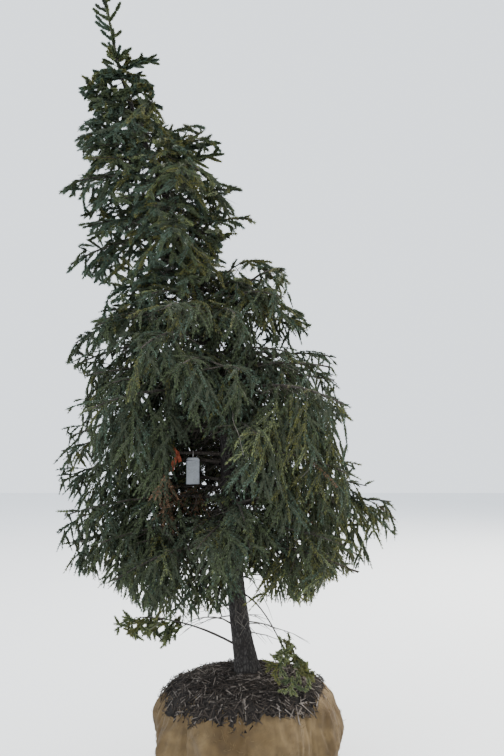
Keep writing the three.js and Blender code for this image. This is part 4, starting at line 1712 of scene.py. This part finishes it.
class Foliage:
    """Turns the grown shoots into twigs and needles, dealt out by spray into tints."""

    needle_count = 800000
    needle_foot = 9.4
    inner_foot = 15.0
    cut_share = 0.55
    upper_from = 2750.0
    leafless_below = 3700.0
    axis_points = 6
    core_faces = [[2, 3, 1], [3, 4, 1], [4, 2, 1], [3, 2, 0], [4, 3, 0], [2, 4, 0]]
    pair_faces = [[0, 1, 2], [1, 0, 3]]

    def __init__(self, crown: Crown) -> None:
        """Gathers the shoots, and drops those in the opening or past the crown's reach.

        Args:
            crown: The crown that grew them.
        """
        self.crown = crown
        self.random = random = np.random.default_rng(77)
        growth, outline, window = crown.growth, crown.outline, crown.window
        roots, tips, sprays, traits, places = map(np.concatenate, zip(*growth.shoots))
        free = traits[:, Trait.FREE]
        slack = outline.softness * random.uniform(0, 1, len(tips)) + 1e6 * free
        shortened = self._past(tips, slack)
        tips[shortened] = (roots + self.cut_share * (tips - roots))[shortened]
        dropped = window.holds((roots + tips) / 2) & (random.uniform(size=len(roots)) > window.keep)
        dropped |= (outline.excess(roots) > WOOD_SLACK) & (free == 0)
        dropped |= (traits[:, Trait.FULLNESS] == 0) & (tips[:, 2] > self.leafless_below)
        stops = self._stops()
        number, share = places.T
        reached = np.append((stops - 1) / (len(growth.axes[0][0]) - 1), 1.0)
        kept = ~dropped & ~self._past(tips, slack) & (share <= reached[number.astype(int)])
        first = np.unique(sprays, return_index=True)[1]
        whole = np.zeros(growth.spray_count, dtype=bool)
        whole[sprays[first]] = kept[first]
        kept &= whole[sprays]
        self.axes = self._axes(stops)
        self.roots, self.tips, self.traits = roots[kept], tips[kept], traits[kept]
        self.outer = self._outer()
        share = np.linalg.norm(self.tips - self.roots, axis=1) * self.traits[:, Trait.FULLNESS]
        share = share * (0.38 + 0.8 * self.outer)
        self.pairs_each = np.round(0.5 * self.needle_count * (share / share.sum())).astype(int)
        self.tints = self._tints(sprays[kept])

    def _past(self, points: Array, slack: Array) -> Array:
        """Which points lie past the crown's reach, or past its outline by more than the slack."""
        low, high = self.crown.reach
        return ((points < low) | (points > high)).any(axis=1) | (self.crown.outline.excess(points) > slack)

    def _stops(self) -> Array:
        """How many points of each frond's axis stay inside the crown."""
        lines, _, free = map(np.array, zip(*self.crown.growth.axes))
        points = lines.reshape(-1, 3)
        past = (self.crown.outline.excess(points) > WOOD_SLACK).reshape(len(lines), -1)
        past &= ~free[:, None]
        past |= self.crown.window.holds(points).reshape(len(lines), -1)
        return np.where(past.any(axis=1), np.maximum(past.argmax(axis=1), 1), lines.shape[1])

    def _axes(self, stops: Array) -> list[Surface]:
        """The fronds' axes, each as far as it stays inside the crown.

        Args:
            stops: The number of points for each axis.

        Returns:
            A surface for each that has two points or more.
        """
        parts = []
        for (line, radii, _), stop in zip(self.crown.growth.axes, stops):
            if stop > 1:
                at = np.unique(np.linspace(0, stop - 1, self.axis_points).astype(int))
                parts.append(Surface.tube(line[at], radii[at], 3))
        return parts

    def _outer(self) -> Array:
        """How far out each shoot is."""
        heights = self.tips[:, 2] - Trunk.base
        away = np.linalg.norm((self.tips - self.crown.trunk.middle(heights))[:, :2], axis=1)
        levels = [whorl.height for whorl in WHORLS]
        reach = np.interp(heights, levels, [0.5 * (whorl.left + whorl.right) for whorl in WHORLS])
        return np.clip(1.1 * away / reach, 0, 1)

    def _tints(self, sprays: Array) -> Array:
        """Deals a tint to each spray, by where it is. Later rules win over earlier ones.

        Args:
            sprays: The spray number of each shoot.

        Returns:
            The place of each shoot's tint in the list of tints.
        """
        count = self.crown.growth.spray_count
        number = np.maximum(np.bincount(sprays, minlength=count), 1)
        x, y, z = (np.bincount(sprays, weights=row, minlength=count) / number for row in self.roots.T)
        chance = np.tile([0.24, 0.29, 0.36, 0.08, 0.03, 0.0], (count, 1))
        sprig = (x > 30) & (x < 190) & (z > 1940) & (z < 2120) & (y < -330)
        patch = (x > -480) & (x < -230) & (z > 1620) & (z < 1830) & (y < 60)
        for place, shares in (
            ((x < 100) & (z < 1560), [0.42, 0.16, 0.34, 0.07, 0.01, 0.0]),
            (z > 2700, [0.08, 0.46, 0.31, 0.1, 0.05, 0.0]),
            ((z > 2700) & (x > -300 - 0.3 * (z - 2700)), [0.08, 0.27, 0.34, 0.22, 0.09, 0.0]),
            # Painted light: on the right, the lit side, these two rules lean to the paler olive and fresh
            # tints.
            ((x > 40) & (z < 2300), [0.2, 0.2, 0.4, 0.16, 0.04, 0.0]),
            ((x > 260) & (z < 2100), [0.1, 0.1, 0.3, 0.38, 0.1, 0.02]),
            ((x < -150) & (y > 60) & (z < 2000), [0.16, 0.1, 0.34, 0.3, 0.08, 0.02]),
            (sprig, [0.0, 0.0, 0.1, 0.3, 0.6, 0.0]),
            (patch, [0.0, 0.0, 0.04, 0.06, 0.0, 0.9]),
            (z < 1060, [0.0, 0.15, 0.45, 0.28, 0.12, 0.0]),
            ((z < 1010) & ((x < -250) | (x > 180)), [0.0, 0.0, 0.1, 0.4, 0.5, 0.0]),
        ):
            chance[place] = shares
        pick = self.random.uniform(size=(count, 1)) > np.cumsum(chance, axis=1)
        return np.minimum(pick.sum(axis=1), len(Tint) - 1)[sprays]

    def cores(self, pick: Array) -> Surface:
        """The wood of some shoots with their closest needles, each a three-sided spindle.

        Args:
            pick: Which shoots.

        Returns:
            The spindles as one surface.
        """
        roots, line, traits = self.roots[pick], (self.tips - self.roots)[pick], self.traits[pick]
        across, upright = sides_of(unit(line), 0.95)
        arch = (traits[:, Trait.ARCH] * np.linalg.norm(line, axis=1))[:, None] * UP
        thickest = roots + line * 0.38 + arch
        corners = [roots, roots + line * 0.97]
        for angle in round_angles(3):
            ring = across * math.cos(angle) + upright * math.sin(angle)
            corners.append(thickest + ring * traits[:, Trait.WOOD, None])
        return Surface.repeated(corners, self.core_faces)

    def needles(self, pick: Array) -> Surface:
        """The needles of some of the shoots, in pairs that share a foot along the wood.

        Args:
            pick: Which shoots.

        Returns:
            The needles as one surface.
        """
        random, traits = self.random, self.traits[pick]
        roots, line = self.roots[pick], (self.tips - self.roots)[pick]
        counts = self.pairs_each[pick]
        shoot = np.repeat(np.arange(len(roots)), counts)
        k = np.arange(len(shoot)) - np.repeat(np.cumsum(counts) - counts, counts)
        t = (k + random.uniform(0.1, 0.9, len(k))) / counts[shoot]
        along = unit(line)
        first, second = sides_of(along, 0.9)
        arch = (traits[:, Trait.ARCH] * np.linalg.norm(line, axis=1))[shoot] * 4 * t * (1 - t)
        base = roots[shoot] + line[shoot] * t[:, None] + arch[:, None] * UP
        turn = k * GOLDEN_TURN + random.uniform(0, TURN, len(roots))[shoot]
        foot = np.interp(self.outer[pick], [0.2, 0.8], [self.inner_foot, self.needle_foot])[shoot]
        corners = [base + along[shoot] * (way * foot)[:, None] for way in (-0.5, 0.5)]
        for opposite in (0, math.pi):
            angle = turn + opposite + random.normal(0, 0.35, len(k))
            lean = traits[shoot, Trait.LEAN] + random.normal(0, 6, len(k))
            lean = np.radians(lean * (1.12 - 0.6 * t**3))
            around = first[shoot] * np.cos(angle)[:, None] + second[shoot] * np.sin(angle)[:, None]
            head = along[shoot] * np.cos(lean)[:, None] + around * np.sin(lean)[:, None]
            size = traits[shoot, Trait.NEEDLE] * random.uniform(0.8, 1.1, len(k)) * (1 - 0.25 * t**4)
            corners.append(base + head * size[:, None])
        return Surface.repeated(corners, self.pair_faces)

    def build(self, low: tuple[str, ...], high: tuple[str, ...]) -> None:
        """Makes the twigs and the needles of every tint.

        Args:
            low: The solids that the lower foliage stands for.
            high: The solids that the upper foliage stands for.
        """
        bare = self.traits[:, Trait.FULLNESS] == 0
        wood = Surface.joined([self.cores(~bare), *self.axes])
        inner = self.cores(bare)
        add_piece("twigs", wood, TWIG_BARK, low + high)
        add_piece("inner_twigs", inner, INNER_BARK, low + high)
        upper = self.roots[:, 2] > self.upper_from
        for index, tint in enumerate(Tint):
            name, finish = tint.value.name, tint.value
            chosen = self.tints == index
            self._lots(f"lower_{name}", chosen & ~upper, finish, low)
            self._lots(f"upper_{name}", chosen & upper, finish, high)
        LOG.info("%d shoots and %d needles", len(self.roots), 2 * self.pairs_each.sum())

    def _lots(
        self, name: str, pick: Array, finish: "Finish", nodes: tuple[str, ...]
    ) -> None:
        """Makes the needles of some shoots into as many pieces as they need.

        Args:
            name: What the pieces' names start with.
            pick: Which shoots.
            finish: Their finish.
            nodes: The solids that they stand for.
        """
        whole = self.needles(pick)
        count = len(whole.triangles) // 2
        for lot, start in enumerate(range(0, count, PAIRS_IN_PIECE)):
            stop = min(start + PAIRS_IN_PIECE, count)
            triangles = whole.triangles[2 * start : 2 * stop] - 4 * start
            part = Surface(whole.points[4 * start : 4 * stop], triangles)
            add_piece(f"{name}_{lot + 1}", part, finish, nodes, smooth=False)


@dataclass(frozen=True)
class DeadTwigs:
    """The thin leafless twigs on the lowest part of the trunk, and a few in the crown."""

    count: int = 26
    low: float = 240.0
    high: float = 860.0
    reach: float = 640.0
    # Height on the trunk, heading, reach, rise, sag and thickness of single ones in the crown.
    seen: Table = (
        (1640, 277, 860, -0.15, 0.31, 5.0),
        (1000, 308, 800, 0.077, -0.256, 9.0),
        (3010, 262, 330, 0.5, 0.1, 3.4),
        (3400, 300, 140, -0.1, 0.9, 3.0),
        (2560, 285, 420, 0.1, 0.3, 3.0),
    )

    def line(self, start: Array, way: Array, reach: float, bow: tuple[float, float], kinks: Array) -> Array:
        """A crooked line that leaves the trunk, with its rise and sag as shares of its reach."""
        share = np.linspace(0, 1, len(kinks))[:, None]
        bend = UP * (bow[0] * share - bow[1] * share**2)
        return start + reach * (way * share + bend + np.cumsum(kinks, axis=0))

    def surface(self, trunk: Trunk) -> Surface:
        """All of them as one surface.

        Args:
            trunk: The trunk that they leave.

        Returns:
            The surface.
        """
        random = np.random.default_rng(55)
        parts = []
        for height, turn, reach, rise, sag, thick in self.seen:
            kinks = random.normal(0, 0.006, (14, 3))
            way = level_way(math.radians(turn))
            line = self.line(trunk.middle(height), way, reach, (rise, sag), kinks)
            parts.append(Surface.tube(line, np.linspace(thick, 1.0, 14), 5))
        for index in range(self.count):
            height = random.uniform(self.low, self.high)
            way = level_way(index * GOLDEN_TURN + random.normal(0, 0.2))
            reach = self.reach * random.uniform(0.35, 1.0)
            rise = random.uniform(-0.1, 0.35)
            kinks = random.normal(0, 0.012, (9, 3))
            line = self.line(trunk.middle(height), way, reach, (rise, rise + 0.22), kinks)
            parts.append(Surface.tube(line, np.linspace(2.8 + 0.007 * reach, 0.8, 9), 5))
            for fork in range(3, 8):
                if random.uniform() < 0.35:
                    continue
                away = unit(line[fork] - line[fork - 1])
                side = turned_about(away, UP, random.choice([-1, 1]) * random.uniform(0.5, 0.9))
                way = unit(side + UP * random.uniform(-0.5, 0.1))
                twig = line[fork] + reach * 0.26 * np.linspace(0, 1, 5)[:, None] * way
                parts.append(Surface.tube(twig, np.linspace(2.4, 0.8, 5), 4))
        return Surface.joined(parts)


@dataclass(frozen=True)
class HangTag:
    """The blank card tag on its loop of wire, and the marking ribbon beside it."""

    limb: Limb
    tag_along: float = 0.215
    width: float = 79.0
    height: float = 159.0
    thickness: float = 1.4
    corner: float = 10.0
    drop: float = 20.0
    wire: float = 1.2
    turn: float = 8.0
    ribbon_along: float = 0.31
    # How far aside and up each tail of the ribbon goes, and its width.
    tails: Table = ((-40.0, -108.0, 30.0), (-52.0, 70.0, 17.0), (18.0, -52.0, 24.0))

    def sheet(self, line: Array, across: Array, half: Array, thickness: float) -> Surface:
        """A strip of thin sheet along a line, seven points wide, with both its faces.

        Args:
            line: Rows of points along its middle.
            across: The width's direction at each.
            half: Half its width at each.
            thickness: Its thickness.

        Returns:
            The closed surface.
        """
        face = unit(np.cross(unit(np.gradient(line, axis=0)), across))[:, None]
        share, half = np.linspace(-1, 1, 7)[:, None], half[:, None, None]
        rows = line[:, None] + across[:, None] * (half * share) + face * (0.05 * half * share**2)
        front = rows + face * thickness / 2
        back = (rows - face * thickness / 2)[:, ::-1]
        return Surface.skinned(np.concatenate([front, back], axis=1))

    def loop_radius(self) -> float:
        """How far the wire's middle stands from the middle of the limb under it."""
        return (self.limb.radius(self.tag_along) + 0.4) / math.cos(math.pi / 10) + self.wire

    def card(self) -> Surface:
        """The card, hanging from its wire, slightly curled."""
        hook = self.limb.at(self.tag_along)
        top = hook[2] - (self.loop_radius() - self.wire / 2) - self.drop + 2 * self.wire
        depth = np.concatenate([[0.0], np.linspace(self.corner, self.height, 18)])
        half = np.concatenate([[self.width / 2 - self.corner], np.full(18, self.width / 2)])
        across = level_way(math.radians(self.turn))
        bow = 2.5 * np.sin(math.pi * depth / self.height)
        line = np.stack([hook[0] + 0 * depth, hook[1] - bow, top - depth], axis=-1)
        return self.sheet(line, np.broadcast_to(across, line.shape), half, self.thickness)

    def loop(self) -> Surface:
        """The wire: a turn round the limb and two strands down to the card."""
        along = self.limb.along(self.tag_along)
        angle = np.linspace(-0.5 * math.pi, 1.5 * math.pi, 25)[:, None]
        shift = np.linspace(-1.5, 1.5, 25)[:, None]
        ring = self.limb.ring(self.tag_along, self.loop_radius(), angle, shift)
        low = ring[0] - UP * (self.drop + 6)
        wave = (1.2 * np.sin(np.linspace(0, 9, 7)))[:, None]
        strand = np.linspace(ring[0], low, 7) + unit(np.cross(UP, along)) * wave
        other = np.linspace(ring[-1], low + along * 2, 7)
        tubes = [Surface.tube(path, np.full(len(path), 1.4), 6) for path in (ring, strand, other)]
        return Surface.joined(tubes)

    def ribbon(self) -> Surface:
        """The ribbon: a knot round the limb and two creased tails.
        Returns:
            One surface that holds its parts.
        """
        along = self.limb.along(self.ribbon_along)
        inner = float(self.limb.radius(self.ribbon_along)) + 1.5
        parts = []
        for turn in range(3):
            angle = np.linspace(0, TURN, 29)[:, None]
            radius = inner + 1.1 * turn + 0.8 * np.sin(3 * angle + turn)
            shift = 3.5 * (turn - 1) + 1.5 * np.sin(2 * angle + turn)
            ring = self.limb.ring(self.ribbon_along, radius, angle, shift)
            half = np.full(29, 6.5) + np.sin(5 * angle[:, 0] + turn)
            parts.append(self.sheet(ring, np.broadcast_to(along, ring.shape), half, 0.5))
        share = np.linspace(0, 1, 30)
        for i, (aside, fall, wide) in enumerate(self.tails):
            y = -inner - 5 * np.sin(math.pi * share) - 2 * i + 3.0 * np.sin(9 * share + i)
            z = fall * share + 6 * np.sin(math.pi * share) * (1 if fall < 0 else -1)
            line = self.limb.at(self.ribbon_along) + np.stack([aside * share**1.3, y, z], axis=-1)
            twist = 0.5 * np.sin(4 * share + 2 * i)[:, None]
            square = unit(np.array([-fall, 0.0, aside]) * (-1 if fall > 0 else 1))
            sideways = square * np.cos(twist) + np.array([0, 1, 0]) * np.sin(twist)
            half = 0.5 * wide * np.interp(share, [0, 0.12, 0.4, 1], [0.3, 0.7, 0.95, 1.0])
            parts.append(self.sheet(line, sideways, half, 0.6))
        return Surface.joined(parts)

    def build(self) -> None:
        """Makes the tag, its wire and the ribbon."""
        add_piece("tag_card", self.card(), CARD, ("grower_tag",))
        add_piece("tag_wire", self.loop(), WIRE)
        add_piece("ribbon", self.ribbon(), TAPE, ("marking_ribbon",))


@dataclass(frozen=True)
class Studio:
    """The pale floor and backdrop, the soft lights and the camera at the photo's angle."""

    eye: Place = (0.024, -4.85, 1.974)
    tilt: float = 4.93
    lens: float = 38.1
    floor_size: float = 60.0

    def floor(self) -> None:
        """Lays the floor."""
        half = self.floor_size / 2
        flat = ((-half, -half), (half, -half), (half, half), (-half, half))
        mesh = bpy.data.meshes.new("floor")
        mesh.from_pydata([(x, y, -0.001) for x, y in flat], [], [(0, 1, 2, 3)])
        material, _, shader = new_finish("floor", 0.9)
        shader.inputs["Base Color"].default_value = (0.8, 0.82, 0.84, 1.0)
        mesh.materials.append(material)
        linked("floor", mesh)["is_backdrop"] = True

    def sky(self) -> None:
        """Sets an even pale background."""
        world = bpy.data.worlds.new("studio")
        world.use_nodes = True
        background = world.node_tree.nodes["Background"]
        background.inputs["Color"].default_value = (0.88, 0.94, 1.0, 1.0)
        background.inputs["Strength"].default_value = 1.9
        bpy.context.scene.world = world

    def lamp(self, name: str, place: Place, size: float, watts: float, color: Color) -> None:
        """Hangs one soft area light that looks at the tree's middle.

        Args:
            name: The light's name.
            place: Where it hangs, in metres.
            size: The side of its square.
            watts: Its power.
            color: Its colour.
        """
        light = bpy.data.lights.new(name, "AREA")
        light.size = size
        light.energy = watts
        light.color = color
        lamp = linked(name, light)
        lamp.location = place
        aim = np.array([-0.2, 0.0, 2.3]) - np.array(place)
        flat = math.hypot(aim[0], aim[1])
        lamp.rotation_euler = (math.atan2(flat, -aim[2]), 0.0, math.atan2(-aim[0], aim[1]))

    def camera(self) -> None:
        """Sets the camera at the photo's viewing angle."""
        data = bpy.data.cameras.new("camera")
        data.lens = self.lens
        data.sensor_width = 36.0
        data.clip_end = 200.0
        camera = linked("camera", data)
        camera.location = self.eye
        camera.rotation_euler = (math.radians(90 + self.tilt), 0.0, 0.0)
        bpy.context.scene.camera = camera

    def build(self) -> None:
        """Makes the whole studio."""
        self.floor()
        self.sky()
        self.lamp("key", (9.0, 7.0, 12.0), 6.0, 5200.0, (1.0, 0.94, 0.84))
        self.lamp("fill", (-7.0, -9.0, 7.0), 8.0, 900.0, (0.9, 0.95, 1.0))
        self.camera()


def box_of(bounds: tuple) -> list[list[float]]:
    """The lowest and highest corner as plain lists of numbers."""
    return [[float(value) for value in corner] for corner in bounds]


def main() -> None:
    """Builds the scene in order."""
    logging.basicConfig(level=logging.INFO, format="%(name)s: %(message)s")
    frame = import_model()
    sizes = {"cad": box_of(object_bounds())}
    Studio().build()
    LOG.info("studio ready")
    RootBall().build()
    trunk = Trunk()
    reach = np.array(sizes["cad"]) / MILLIMETRE + [[-REACH_MARGIN] * 3, [REACH_MARGIN] * 3]
    crown = Crown(trunk, SolidTips(frame["nodes"]), reach)
    crown.grow()
    add_piece("trunk_bark", trunk.surface(crown.limbs), TRUNK_BARK, ("trunk",))
    crown.build()
    add_piece("dead_twigs", DeadTwigs().surface(trunk), DEAD_BARK)
    tagged = [limb for limb in crown.limbs if limb.whorl.name == "tagged" and limb.number == 1]
    HangTag(tagged[0]).build()
    sizes["visual"] = box_of(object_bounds())


if __name__ == "__main__":
    main()
